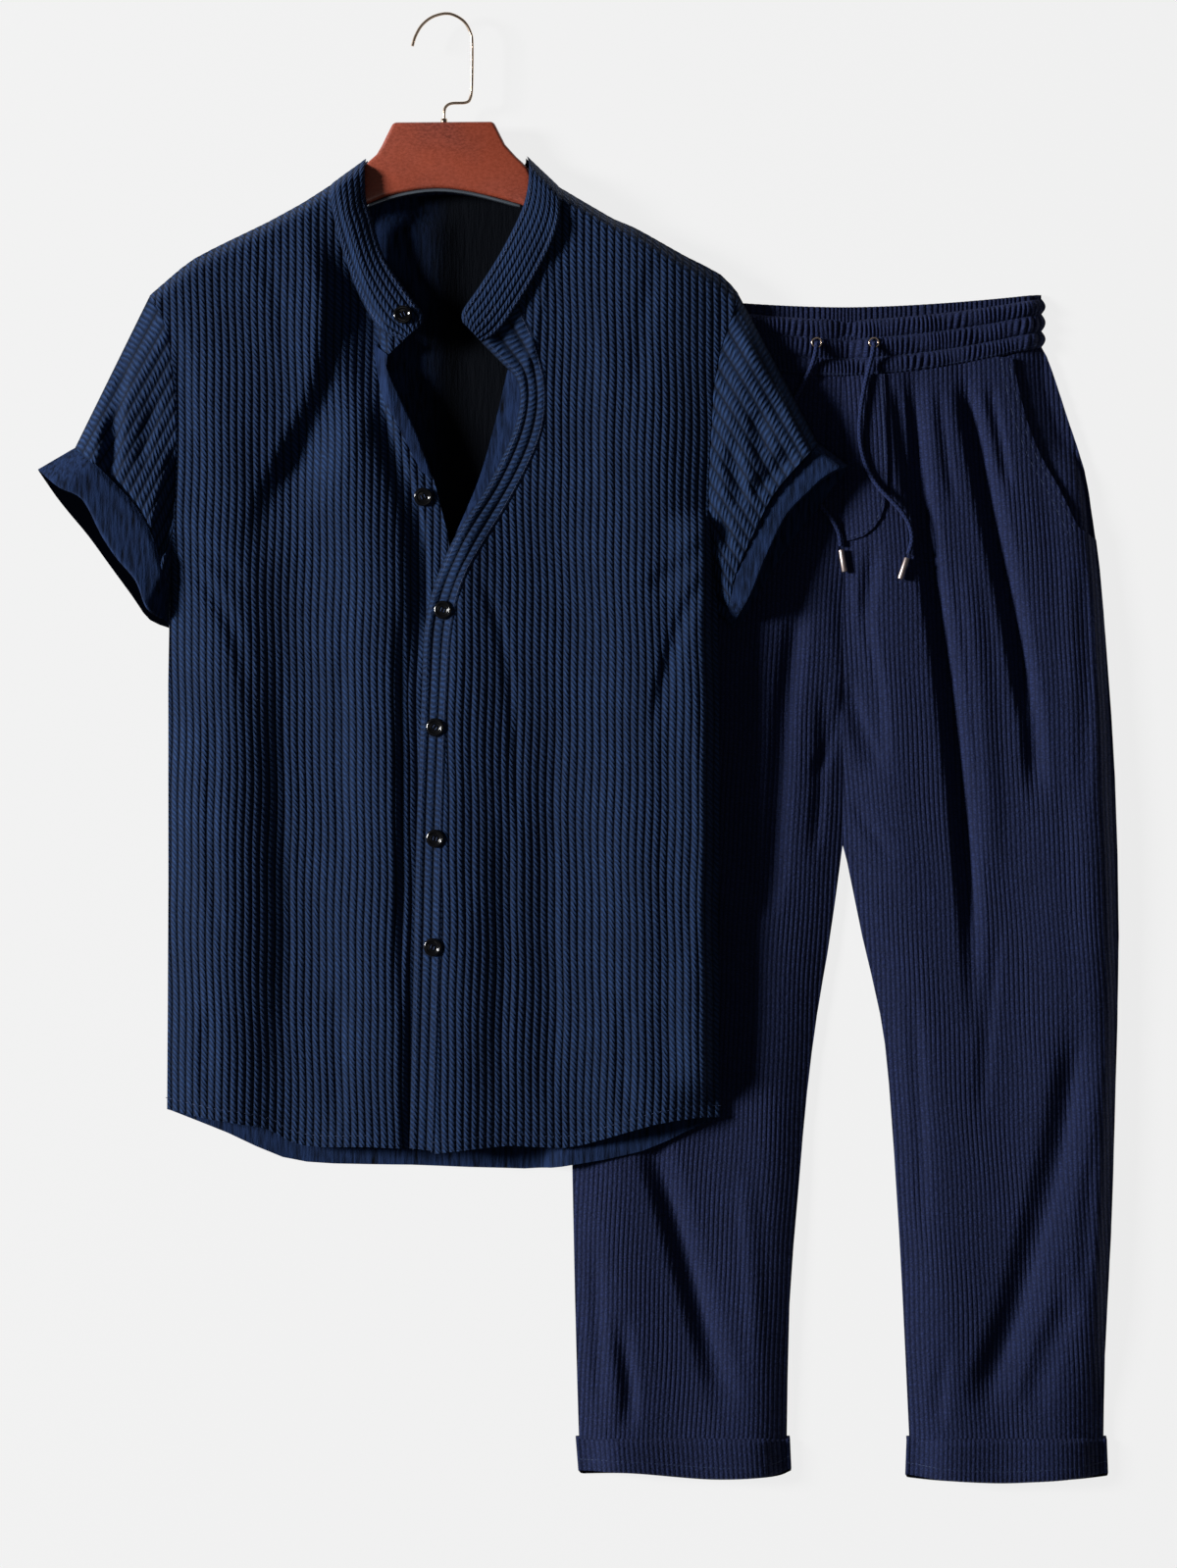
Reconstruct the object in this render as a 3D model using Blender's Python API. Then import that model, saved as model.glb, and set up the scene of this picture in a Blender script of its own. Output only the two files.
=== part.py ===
# Shirt and trousers set in ribbed cloth, laid out flat, with a wooden hanger in the shirt.
# The tables below are in millimetres, and a mesh is made in metres.
# X runs to the right, Y towards the hook, and Z up from the surface that the set lies on.
# Right and left are the wearer's, so the right side lies at lower X.

import math
from collections import namedtuple

import bmesh
import bpy
from mathutils import Vector

MM = 0.001
CENTRE = (0.4, -2.1)       # middle of the whole set in the tables' own coordinates

CLOTH = 1.8                # wall of the cloth under its ribs
SEAM = 0.3                 # gap between pieces at a seam
RIB = 0.9                  # height of a rib
SHIRT_PITCH = 6.2          # ribs of the shirt
TROUSER_PITCH = 5.6        # ribs of the trousers
EDGE = 2 * CLOTH + SEAM    # height of two layers at a flat edge
OVER = 14.3                # the shirt's underside where it lies on the trousers
RAMP = 22.0                # width over which the shirt climbs onto the trousers
SHOULDER_ROLL = 13.0       # width over which the front turns down to the shoulder seam
SHOULDER_SLANT = 0.88      # cosine of the shoulder line's slope
LAP = 3.9                  # how far the left front lies above the right one
LAP_END = -92.0            # where the left front starts to come down beside the lap
LAP_FADE = 34.0
MIDDLE = 209.0             # centre line of the trousers

Point = namedtuple("Point", "x y")
Ridge = namedtuple("Ridge", "name x height")
Fold = namedtuple("Fold", "name depth half path")
Button = namedtuple("Button", "x y turn piece drop")
Knot = namedtuple("Knot", "x y z")


def points(*pairs):
    return [Point(*pair) for pair in pairs]


# Edges of the shirt, each one from its upper end to its lower end.
SHOULDER_RIGHT = points((-194, 444), (-216, 430), (-245, 414), (-274, 400), (-303, 385), (-322, 370),
                        (-338, 356))
ARMHOLE_RIGHT = points((-338, 356), (-331, 346), (-323, 328), (-318, 296), (-315, 250), (-316, 200),
                       (-319, 165), (-321, 131))
SIDE_RIGHT = points((-321, 131), (-323, 50), (-323, -110), (-324, -286))
SHOULDER_LEFT = points((-15, 442), (24, 419), (55, 402), (85, 385), (112, 371), (126, 356))
ARMHOLE_LEFT = points((126, 356), (124, 346), (114, 319), (107, 288), (104, 247), (102, 195), (104, 164),
                      (108, 124), (110, 104))
SIDE_LEFT = points((110, 104), (111, 0), (111, -150), (111, -291))
FRONT_HEM_RIGHT = points((-324, -286), (-288, -293), (-246, -300), (-226, -311), (-202, -315),
                         (-163, -314), (-99, -317))
FRONT_HEM_LEFT = points((-132, -315), (-112, -319), (-87, -316), (-53, -313), (-11, -315), (19, -308),
                        (59, -296), (92, -291), (111, -291))
BACK_HEM = points((-324, -286), (-276, -305), (-233, -324), (-193, -329), (-132, -330), (-42, -333),
                  (-5, -329), (50, -318), (86, -302), (111, -291))
FRONT_EDGE_LEFT = points((-75, 316), (-60, 301), (-48, 288), (-45, 272), (-49, 251), (-58, 229),
                         (-74, 198), (-91, 173), (-102, 153), (-113, 125), (-120, 94), (-122, 47),
                         (-126, -59), (-129, -191), (-132, -315))
FRONT_EDGE_RIGHT = points((-137, 318), (-149, 307), (-149, 296), (-139, 274), (-125, 243), (-113, 209),
                          (-105, 178), (-100, 150), (-99, 60), (-99, -317))
COLLAR_SEAM_RIGHT = points((-194, 444), (-193, 425), (-186, 394), (-172, 355), (-156, 329), (-137, 318))
COLLAR_EDGE_RIGHT = points((-167, 464), (-166, 430), (-162, 418), (-152, 385), (-130, 352), (-121, 339),
                           (-122, 331))
COLLAR_SEAM_LEFT = points((-15, 442), (-15, 408), (-29, 375), (-46, 346), (-63, 323), (-75, 316))
COLLAR_EDGE_LEFT = points((-40, 466), (-38, 452), (-42, 425), (-58, 391), (-77, 360), (-90, 341),
                          (-90, 332))
PLACKET_SEAM = points((-46, 346), (-33, 318), (-25, 288), (-24, 264), (-29, 240), (-41, 213), (-57, 184),
                      (-73, 158), (-88, 130), (-97, 98), (-101, 50), (-105, -59), (-108, -191),
                      (-112, -317))
COLLAR_BACK_TOP = points((-166, 463), (-158, 457), (-104, 459), (-48, 457), (-41, 465))
COLLAR_BACK_SEAM = points((-193, 441), (-157, 434), (-105, 438), (-50, 434), (-16, 441))
TURNED_FACING = points((-161, 318), (-158, 296), (-153, 274), (-145, 260), (-133, 236), (-123, 216))
INNER_FACING = points((-55, 296), (-65, 254), (-77, 212), (-91, 178), (-99, 161))

# Edges of the sleeves and of their turn-ups, from the outer end to the underarm.
SLEEVE_END_RIGHT = points((-397, 236), (-380, 221), (-360, 201), (-348, 187), (-336, 166), (-329, 145),
                          (-326, 119))
CUFF_FRONT_RIGHT = points((-426, 219), (-408, 204), (-389, 194), (-374, 166), (-362, 148), (-347, 130),
                          (-338, 108), (-331, 96))
CUFF_BACK_RIGHT = points((-426, 218), (-413, 199), (-402, 185), (-387, 167), (-371, 145), (-352, 119),
                         (-339, 101), (-330, 91))
SLEEVE_END_LEFT = points((189, 238), (165, 212), (151, 194), (140, 172), (131, 153), (121, 127),
                         (119, 97))
CUFF_FRONT_LEFT = points((213, 221), (193, 210), (182, 200), (165, 183), (156, 167), (146, 145),
                         (135, 118), (123, 97))
CUFF_BACK_LEFT = points((213, 220), (199, 202), (189, 187), (172, 167), (152, 137), (135, 108),
                        (129, 98), (122, 93))

# Edges of the trousers.
OUTSEAM_RIGHT = points((52, 316), (38, 278), (25, 240), (15, 194), (8, 147), (2, 86), (-3, 9), (-7, -68),
                       (-7, -184), (-5, -290), (-2, -438), (1, -546))
OUTSEAM_LEFT = points((367, 316), (375, 295), (387, 258), (400, 218), (406, 182), (412, 140), (418, 67),
                      (424, -25), (427, -150), (424, -285), (421, -383), (416, -480), (415, -546))
INSEAM_RIGHT = points((MIDDLE, -77), (204, -115), (197, -163), (189, -210), (181, -272), (174, -350),
                      (167, -440), (165, -546))
INSEAM_LEFT = points((MIDDLE, -77), (213, -91), (225, -150), (239, -211), (246, -266), (254, -383),
                     (259, -480), (262, -546))
POCKET_MOUTH = points((342, 306), (351, 264), (363, 231), (378, 204), (393, 173))
FLY_EDGE = points((241, 292), (243, 248), (243, 205), (238, 180), (225, 166), (MIDDLE + 1, 162))
TURNUP_FRONT_RIGHT = points((3, -571), (42, -571), (107, -576), (152, -574), (166, -569))
TURNUP_FRONT_LEFT = points((261, -574), (290, -577), (338, -579), (390, -576), (416, -573))
TURNUP_DROP = 3.0          # the back of a turned-up hem shows below its front by this

# The waistband: rise of each line from the middle to the side, and its height at the middle.
BAND_HALF = 157.0
BAND_LINES = (("seam", 291.5, 24.0), ("lower", 306.0, 22.0), ("upper", 321.5, 20.0), ("top", 336.5, 17.0))
BAND_BACK_TOP = ("back", 346.5, 10.5)
BAND_POWER = 1.7
BAND_HEIGHT = 10.6         # outer side of the waistband's front at its stitch lines
BAND_ROUND = 14.0          # width over which it turns down at its two ends
GATHERS = 36               # gathers across the front of the waistband
GATHER = 1.2               # height of a gather
CHANNEL = 2.1              # how far an elastic channel stands up between its stitch lines
BAND_LOW = CLOTH + GATHER + SEAM   # the front of the waistband clears the back's gathers
BAND_END = BAND_LOW + 1.4  # outer side of the waistband's front at its two ends
BAND_SHOWN = 15.0          # how much of the waistband's back shows above its front
FLY_WALL = 1.1

# Ridges and hollows of the shirt, from the right side to the left side. x and height are given at
# each of these distances up the garment.
SHIRT_STATIONS = (450, 300, 200, 125, 0, -150, -310)
SHIRT_RIDGES = (
    Ridge("right side", (-338, -318, -316, -321, -323, -323, -324), (17, 17, 15, 6, EDGE, EDGE, EDGE)),
    Ridge("right crest", (-290, -280, -275, -271, -271, -271, -271), (22, 23, 23, 23, 24, 24, 20)),
    Ridge("right hollow", (-240, -235, -228, -225, -225, -224, -228), (24, 23, 18, 14, 12, 11.5, 11)),
    Ridge("right chest", (-190, -186, -168, -155, -146, -143, -142), (28, 31, 31, 30, 30, 29, 25)),
    Ridge("right edge", (-150, -150, -118, -110, -124, -126, -130), (24, 22, 21, 21, 23, 23, 19)),
    Ridge("placket", (-60, -58, -78, -88, -92, -92, -94), (31, 29, 27, 27, 29, 29, 25)),
    Ridge("left hollow", (-20, -20, -22, -20, -16, -15, -14), (32, 30, 27, 25, 23, 21.5, 20)),
    Ridge("left crest", (50, 55, 58, 58, 58, 58, 58), (36, 36, 36, 36, 36, 36, 31)),
    Ridge("left side", (126, 109, 103, 107, 111, 111, 111), (27, 27, 25, 20, OVER + EDGE, OVER + EDGE,
                                                             OVER + EDGE)),
)
SHIRT_FOLDS = (
    Fold("left collar fold", 3.0, 9, points((-11, 412), (-22, 362), (-36, 282))),
    Fold("right armpit", 3.0, 12, points((-318, 168), (-290, 150), (-262, 130))),
    Fold("left armpit", 3.0, 12, points((104, 160), (80, 138), (55, 125))),
)

TROUSER_STATIONS = (292, 200, 75, -77, -300, -546)
RIGHT_LEG_RIDGES = (
    Ridge("outseam", (42, 16, 1, -8, -5, 1), (EDGE, EDGE, EDGE, EDGE, EDGE, EDGE)),
    Ridge("outer crest", (85, 60, 45, 38, 36, 38), (12.5, 13, 13, 13, 13, 15)),
    Ridge("hollow", (130, 115, 105, 100, 92, 85), (11.5, 11.5, 11.5, 11.5, 11.5, 12)),
    Ridge("inner crest", (180, 176, 172, 160, 145, 132), (9, 7.6, 12, 13, 13, 15)),
    Ridge("centre and inseam", (MIDDLE, MIDDLE, MIDDLE, MIDDLE, 178, 165),
          (10.3, 10.3, 9, EDGE, EDGE, EDGE)),
)
LEFT_LEG_RIDGES = (
    Ridge("centre and inseam", (MIDDLE, MIDDLE, MIDDLE, MIDDLE, 248, 262),
          (10.3, 10.3, 9, EDGE, EDGE, EDGE)),
    Ridge("inner crest", (243, 246, 256, 262, 290, 300), (14, 16, 17, 16, 15, 15)),
    Ridge("hollow", (285, 300, 320, 335, 335, 335), (13, 15, 16, 16, 14, 13)),
    Ridge("outer crest", (335, 350, 372, 385, 380, 375), (14, 17, 19, 19, 18, 16)),
    Ridge("outseam", (376, 403, 418, 426, 424, 415), (EDGE, EDGE, EDGE, EDGE, EDGE, EDGE)),
)
TROUSER_FOLDS = (
    Fold("first pleat", 6.0, 13, points((264, 300), (269, 218), (281, 127), (293, 51), (306, -70),
                                        (313, -215))),
    Fold("second pleat", 6.0, 13, points((302, 300), (326, 188), (342, 112), (357, 20), (361, -40))),
    Fold("beside the fly", 3.5, 10, points((233, 160), (226, 97), (236, 36), (240, -20))),
    Fold("left shin", 5.0, 22, points((398, -225), (380, -318), (348, -442), (316, -525))),
    Fold("left ankle", 3.0, 16, points((390, -432), (370, -475), (358, -520))),
    Fold("right thigh", 4.0, 14, points((176, 120), (163, 21), (155, -100), (146, -135))),
    Fold("right shin", 4.5, 18, points((55, -300), (75, -367), (96, -440), (118, -525))),
    Fold("right ankle", 2.5, 12, points((34, -450), (40, -500), (38, -540))),
)

# The two ends of the drawstring, from the eyelet to the metal tip. The first points are lifted over
# the eyelet's rim and the waistband, and the others lie on the cloth.
CORD = 3.7
CORD_RIGHT = [Knot(*row) for row in (
    (188, 318, 16.5), (187.5, 313.8, 18.4), (186.5, 308, 18.4), (184.5, 301, 17.4), (181, 293, 15.4),
    (176, 283, 13.2), (170, 272, 12.3), (165, 260, 12.0), (163, 246, 11.9), (165, 230, 11.8),
    (170, 215, 11.8), (177, 204, 11.8), (186, 195, 12.1), (194, 186.5, 12.2), (201, 177.5, 12.9),
    (205.5, 168, 13.6), (207, 158, 13.6))]
CORD_LEFT = [Knot(*row) for row in (
    (233, 318, 16.4), (232.5, 313.5, 18.4), (231.5, 308, 18.6), (229.5, 300, 18.4), (227, 290, 18.6),
    (224.5, 278, 18.9), (222.5, 265, 18.9), (221.5, 252, 18.8), (222, 239, 18.7), (224.5, 227, 18.8),
    (229, 215, 19.6), (236, 204, 20.8), (245, 194.5, 21.2), (254, 185, 20.4), (260.5, 174, 19.6),
    (262.5, 162, 19.5), (259.5, 151, 19.8))]
TIPS = {"right": (Knot(207.3, 155, 13.8), Knot(210, 137.5, 13.8)),
        "left": (Knot(258.6, 148.2, 20.0), Knot(253, 131.5, 20.6))}
TIP = 4.6                  # the metal tip's diameter
EYELETS = {"right": Point(188, 318), "left": Point(233, 318)}
EYELET_OUTER = 8.8
EYELET_WIRE = 1.5

BUTTONS = (
    Button(-137, 338, 0.3, "collar", 0), Button(-121, 196, 0.8, "right", 0), Button(-105, 107, 0.5, "lap", 0.7),
    Button(-111, 15, 0.2, "lap", 0), Button(-111, -72, 0.6, "lap", 0), Button(-113, -157, 0.4, "lap", 0),
)
# Heights up the garment where a panel's cross-section is taken.
SHOULDER_ROWS = (2, -4, -13)   # the first sections follow the shoulder line at these distances
SHIRT_ROWS = (270, 190, 115, 0, -325)
BACK_ROWS = (450, 316, 240, 160, 80, -60, -340)
RIGHT_LEG_ROWS = (325, 215, 90, -60, -220, -390, -555)
LEFT_LEG_ROWS = (325, 240, 140, 30, -80, -250, -400, -555)
LEAN = 0.045               # how far a leg's ribs lean outwards
COLLAR_RISE = 4.5          # how far the band collar stands above the front
SLEEVE_HEIGHT = 21.0
SLEEVE_RIBS = 17
SLEEVE_FOLDS = {
    "right": (Fold("sleeve crease", 5.0, 13, points((-366, 262), (-368, 214))),
              Fold("underarm crease", 3.5, 10, points((-324, 190), (-327, 150)))),
    "left": (Fold("sleeve crease", 4.0, 12, points((140, 262), (146, 214))),
             Fold("underarm crease", 3.0, 9, points((112, 180), (116, 148)))),
}
TUBE_GAP = 1.4             # gap where a sleeve or turn-up is sewn on, along its ribs
CUFF_GAP = 2.6             # the same gap at a sleeve's turn-up
UNDER_COLUMNS = 8          # faces across the flat underside of a sleeve or a turn-up
CUFF_WALL = 2.6
CUFF_PROUD = 1.6
CUFF_FLARE = 2.5
TURNUP_WALL = 2.4
TURNUP_PROUD = 1.8
TURNUP_RIBS = 26
FACING_TUCK = 9.0          # how far the pocket's facing reaches under the mouth
EYELET_HEIGHT = 14.4
BUTTON_ACROSS = 14.6
BUTTON_THICK = 3.0

# The hanger, flat in its own plane, then tipped so that it lies on the back at both ends.
HANGER_TOP = points((-302, 362), (-292, 377), (-250, 398), (-205, 422), (-178, 439), (-169, 456),
                    (-158, 466), (-151, 479), (-145, 491), (-66, 491), (-57, 473), (-48, 463), (-39, 454),
                    (-30, 437), (0, 418), (45, 394), (78, 376), (88, 364))
HANGER_LOW = points((82, 356), (45, 374), (0, 398), (-30, 417), (-45, 426), (-83, 436), (-112, 439),
                    (-141, 435), (-165, 427), (-205, 402), (-250, 378), (-296, 355))
HANGER_THICK = 10.0
HANGER_BEVEL = 3.0
HANGER_SEAT = 2.2          # underside of the hanger at its right end
HANGER_RISE = 0.0412       # how much it climbs for each millimetre to the left side
HANGER_START = -300.0
STRIP_WIDE = 2.4
HOOK_WIRE = 2.4
HOOK = points((-105, 491.4), (-105, 499), (-103.5, 503.5), (-99, 506), (-88, 506.6), (-84.5, 510),
              (-83.3, 520), (-83, 552), (-84.5, 562), (-90, 571), (-101, 576.5), (-113, 574.5),
              (-122, 568), (-127.5, 559), (-130, 551))

COLOURS = {
    "shirt cloth": (0.011, 0.027, 0.062), "trouser cloth": (0.012, 0.019, 0.052),
    "cord": (0.012, 0.02, 0.055), "button": (0.012, 0.011, 0.012), "wood": (0.26, 0.045, 0.022),
    "grey metal": (0.45, 0.46, 0.48), "pale gold": (0.75, 0.58, 0.45),
}


def clear_scene():
    for old in list(bpy.data.objects):
        bpy.data.objects.remove(old, do_unlink=True)


def finish(obj, slot, smooth=False):
    material = bpy.data.materials.get(slot) or bpy.data.materials.new(slot)
    material.use_nodes = True
    shader = material.node_tree.nodes["Principled BSDF"]
    metal = slot in ("grey metal", "pale gold")
    shader.inputs["Base Color"].default_value = (*COLOURS[slot], 1.0)
    shader.inputs["Metallic"].default_value = 1.0 if metal else 0.0
    shader.inputs["Roughness"].default_value = 0.3 if metal else 0.85 if "cloth" in slot else 0.35
    material.diffuse_color = (*COLOURS[slot], 1.0)
    obj.data.materials.append(material)
    if smooth:
        obj.data.shade_smooth()
    return obj


def place(x, y, z):
    return Vector(((x - CENTRE[0]) * MM, (y - CENTRE[1]) * MM, z * MM))


def make_object(name, bm):
    bmesh.ops.recalc_face_normals(bm, faces=bm.faces)
    mesh = bpy.data.meshes.new(name)
    bm.to_mesh(mesh)
    bm.free()
    obj = bpy.data.objects.new(name, mesh)
    bpy.context.scene.collection.objects.link(obj)
    return obj


def ease(t):
    t = min(1.0, max(0.0, t))
    return t * t * (3 - 2 * t)


def spline(knots, steps=2):
    """Smooth curve through the knots, with this many steps between two of them."""
    ends = [knots[0]] + list(knots) + [knots[-1]]
    out = []
    for i in range(1, len(ends) - 2):
        before, here, there, after = ends[i - 1:i + 3]
        for k in range(steps):
            t = k / steps
            values = []
            for a, b, c, d in zip(before, here, there, after):
                values.append(0.5 * (2 * b + (c - a) * t + (2 * a - 5 * b + 4 * c - d) * t ** 2
                                     + (3 * b - a - 3 * c + d) * t ** 3))
            out.append(tuple(values))
    out.append(tuple(knots[-1]))
    return out


def evenly(knots, count):
    """The smooth curve through the knots as this many points, evenly spaced along it."""
    path = spline(knots, 8)
    run = [0.0]
    for a, b in zip(path, path[1:]):
        run.append(run[-1] + math.dist(a, b))
    out = []
    k = 0
    for i in range(count):
        want = run[-1] * i / (count - 1)
        while k < len(run) - 2 and run[k + 1] < want:
            k += 1
        t = (want - run[k]) / max(1e-9, run[k + 1] - run[k])
        out.append(tuple(a + (b - a) * t for a, b in zip(path[k], path[k + 1])))
    return out


def along(stations, values, y):
    """Value at height y of a quantity that is given at each station, eased between them."""
    if y >= stations[0]:
        return values[0]
    for i in range(len(stations) - 1):
        if y >= stations[i + 1]:
            t = (stations[i] - y) / (stations[i] - stations[i + 1])
            return values[i] + (values[i + 1] - values[i]) * (0.5 * t + 0.5 * ease(t))
    return values[-1]


def profile(ridges, stations, x, y):
    """Height of a cross-section at x: round down to its two ends and waved between its ridges."""
    xs = [along(stations, ridge.x, y) for ridge in ridges]
    hs = [along(stations, ridge.height, y) for ridge in ridges]
    if x <= xs[0]:
        return hs[0]
    last = len(xs) - 2
    for i in range(last + 1):
        if x <= xs[i + 1]:
            t = (x - xs[i]) / (xs[i + 1] - xs[i])
            if i == 0:
                return hs[0] + (hs[1] - hs[0]) * math.sin(math.pi / 2 * t)
            if i == last:
                return hs[-1] + (hs[-2] - hs[-1]) * math.cos(math.pi / 2 * t)
            return hs[i] + (hs[i + 1] - hs[i]) * (1 - math.cos(math.pi * t)) / 2
    return hs[-1]


def off_path(path, x, y):
    """Distance from a path, and how far along it the nearest point lies, from 0 to 1."""
    best = (1e9, 0.0)
    for i, (a, b) in enumerate(zip(path, path[1:])):
        run = (b[0] - a[0], b[1] - a[1])
        size = run[0] ** 2 + run[1] ** 2
        t = max(0.0, min(1.0, ((x - a[0]) * run[0] + (y - a[1]) * run[1]) / size))
        gap = math.hypot(x - a[0] - run[0] * t, y - a[1] - run[1] * t)
        if gap < best[0]:
            best = (gap, (i + t) / (len(path) - 1))
    return best


def fold_depth(folds, x, y):
    """How far the folds sink the cloth at a point: each is a soft trough that fades at its ends."""
    depth = 0.0
    for fold in folds:
        gap, t = off_path(fold.path, x, y)
        if gap < fold.half:
            fade = ease(min(t, 1 - t) / 0.2 + 0.25)
            depth = max(depth, fold.depth * fade * (1 + math.cos(math.pi * gap / fold.half)) / 2)
    return depth


def thick(surface, x, y):
    """Upright measure of the cloth's wall, which grows where the surface is steep."""
    step = 0.5
    slope_x = (surface(x + step, y) - surface(x - step, y)) / (2 * step)
    slope_y = (surface(x, y + step) - surface(x, y - step)) / (2 * step)
    return CLOTH * min(1.7, math.sqrt(1 + slope_x ** 2 + slope_y ** 2))


def at_height(edge, y):
    """X of an edge that runs down the garment, at height y."""
    if y >= edge[0].y:
        return edge[0].x
    for upper, lower in zip(edge, edge[1:]):
        if y >= lower.y:
            t = (upper.y - y) / (upper.y - lower.y)
            return upper.x + (lower.x - upper.x) * t
    return edge[-1].x


def shirt_floor(x, y):
    """Underside of the shirt: on the surface, and higher where the trousers lie under it."""
    return OVER * ease((x - at_height(OUTSEAM_RIGHT, y) + RAMP + 4) / RAMP)


def back_top(x, y):
    return shirt_floor(x, y) + thick(shirt_floor, x, y)


def shoulder_line(x):
    """Height up the garment of the shoulder seam at x, carried on over the neck."""
    line = SHOULDER_RIGHT[::-1] + [Point(-166, 466), Point(-41, 468)] + SHOULDER_LEFT
    if x <= line[0].x:
        return line[0].y
    for a, b in zip(line, line[1:]):
        if x <= b.x:
            return a.y + (b.y - a.y) * (x - a.x) / (b.x - a.x)
    return line[-1].y


def shirt_rows(x):
    """Heights of the sections of a front at x: along the shoulder first, then level."""
    top = shoulder_line(x)
    rows = [top + off for off in SHOULDER_ROWS]
    return rows + [(rows[-1] + SHIRT_ROWS[0]) / 2] + list(SHIRT_ROWS)


def shirt_front(x, y):
    """Outer side of the shirt's front, under its ribs."""
    low = back_top(x, y) + SEAM + CLOTH
    height = profile(SHIRT_RIDGES, SHIRT_STATIONS, x, y) - fold_depth(SHIRT_FOLDS, x, y)
    gap = (shoulder_line(x) - y) * SHOULDER_SLANT
    if gap < SHOULDER_ROLL:
        height = low + (height - low) * math.sin(math.pi / 2 * max(0.0, gap / SHOULDER_ROLL))
    return max(height, low)


def left_front(x, y):
    """The left front, which lies over the right one where they lap."""
    return shirt_front(x, y) + LAP * (1 - ease((x - LAP_END) / LAP_FADE))


def front_inside(surface):
    def inside(x, y):
        return max(surface(x, y) - thick(surface, x, y), back_top(x, y) + SEAM)
    return inside


def trousers_front(x, y):
    """Outer side of the trousers' front, under its ribs."""
    ridges = RIGHT_LEG_RIDGES if x < MIDDLE else LEFT_LEG_RIDGES
    height = profile(ridges, TROUSER_STATIONS, x, y) - fold_depth(TROUSER_FOLDS, x, y)
    return max(height, EDGE)


def trousers_inside(x, y):
    return max(trousers_front(x, y) - thick(trousers_front, x, y), CLOTH + SEAM)


def wall(name, outer, inner, closed=False):
    """A closed wall between an outer and an inner set of rows of points, open or round."""
    bm = bmesh.new()
    sides = [[[bm.verts.new(place(*p)) for p in row] for row in side] for side in (outer, inner)]
    for rows in sides:
        count = len(rows[0])
        for upper, lower in zip(rows, rows[1:]):
            for k in range(count if closed else count - 1):
                j = (k + 1) % count
                bm.faces.new((upper[k], upper[j], lower[j], lower[k]))
    top, low = sides
    if closed:
        for end in (0, -1):
            count = len(top[end])
            for k in range(count):
                j = (k + 1) % count
                bm.faces.new((top[end][k], top[end][j], low[end][j], low[end][k]))
    else:
        for end in (0, -1):
            step = (len(top[0]) - 1) // (len(low[0]) - 1)
            for j in range(len(low[0]) - 1):
                bm.faces.new(top[end][step * j:step * (j + 1) + 1] + [low[end][j + 1], low[end][j]])
            for i in range(len(top) - 1):
                bm.faces.new((top[i][end], top[i + 1][end], low[i + 1][end], low[i][end]))
    return make_object(name, bm)


def inset(outline, gap):
    """The outline moved in by a gap, so that two pieces stay apart at their seam."""
    clean = [p for p, q in zip(outline, outline[1:] + outline[:1]) if math.dist(p, q) > 0.4]
    area = sum(p[0] * q[1] - q[0] * p[1] for p, q in zip(clean, clean[1:] + clean[:1]))
    side = 1 if area > 0 else -1
    moved = []
    for before, here, after in zip(clean[-1:] + clean[:-1], clean, clean[1:] + clean[:1]):
        run = Vector((after[0] - before[0], after[1] - before[1])).normalized()
        moved.append((here[0] - run.y * side * gap, here[1] + run.x * side * gap))
    return moved


def cutter(name, outline, low=-20.0, high=90.0):
    """An upright block with a piece's outline, which a wider piece of cloth is cut to."""
    bm = bmesh.new()
    ring = [bm.verts.new(place(x, y, low)) for x, y in inset(outline, SEAM / 2)]
    face = bm.faces.new(ring)
    up = bmesh.ops.extrude_face_region(bm, geom=[face])
    bmesh.ops.translate(bm, verts=[v for v in up["geom"] if isinstance(v, bmesh.types.BMVert)],
                        vec=(0, 0, (high - low) * MM))
    block = make_object(name + "_outline", bm)
    block.display_type = "WIRE"
    block.hide_render = True
    return block


def cut_to(obj, outline):
    cut = obj.modifiers.new("outline", "BOOLEAN")
    cut.operation = "INTERSECT"
    cut.solver = "EXACT"
    cut.object = cutter(obj.name, outline)
    return obj


def spread(start, end, count):
    return [start + (end - start) * i / (count - 1) for i in range(count)]


def plain_row(row, inside, least):
    """The plain inner side under every second rib, let down where its chord would rise into the wall."""
    every = [inside(x, y) for x, y in row]
    down = [0.0] * (len(every) // 2 + 1)
    for j in range(len(every) // 2):
        rise = (every[2 * j] + every[2 * j + 2]) / 2 - every[2 * j + 1]
        down[j] = max(down[j], rise)
        down[j + 1] = max(down[j + 1], rise)
    return [(x, y, max(z - drop, least(x, y))) for (x, y), z, drop in zip(row[::2], every[::2], down)]


def shirt_least(x, y):
    return back_top(x, y) + SEAM


def trousers_least(x, y):
    return CLOTH + SEAM


def rib_grid(outline, pitch, rows, lean):
    """Points in the flat where a panel is sampled: along its rows, on and between its ribs."""
    low_x = min(p[0] for p in outline)
    high_x = max(p[0] for p in outline)
    heights = rows(low_x)
    middle = (heights[0] + heights[-1]) / 2
    reach = abs(lean) * (heights[0] - heights[-1]) / 2 + 4
    ribs = math.ceil((high_x - low_x + 2 * reach) / pitch)
    ribs += ribs % 2
    grid = []
    for i in range(len(heights)):
        row = []
        for k in range(2 * ribs + 1):
            x = low_x - reach + pitch * k / 2
            y = rows(x)[i]
            row.append((x + lean * (middle - y), y, RIB * (k % 2)))
        grid.append(row)
    return grid


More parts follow.
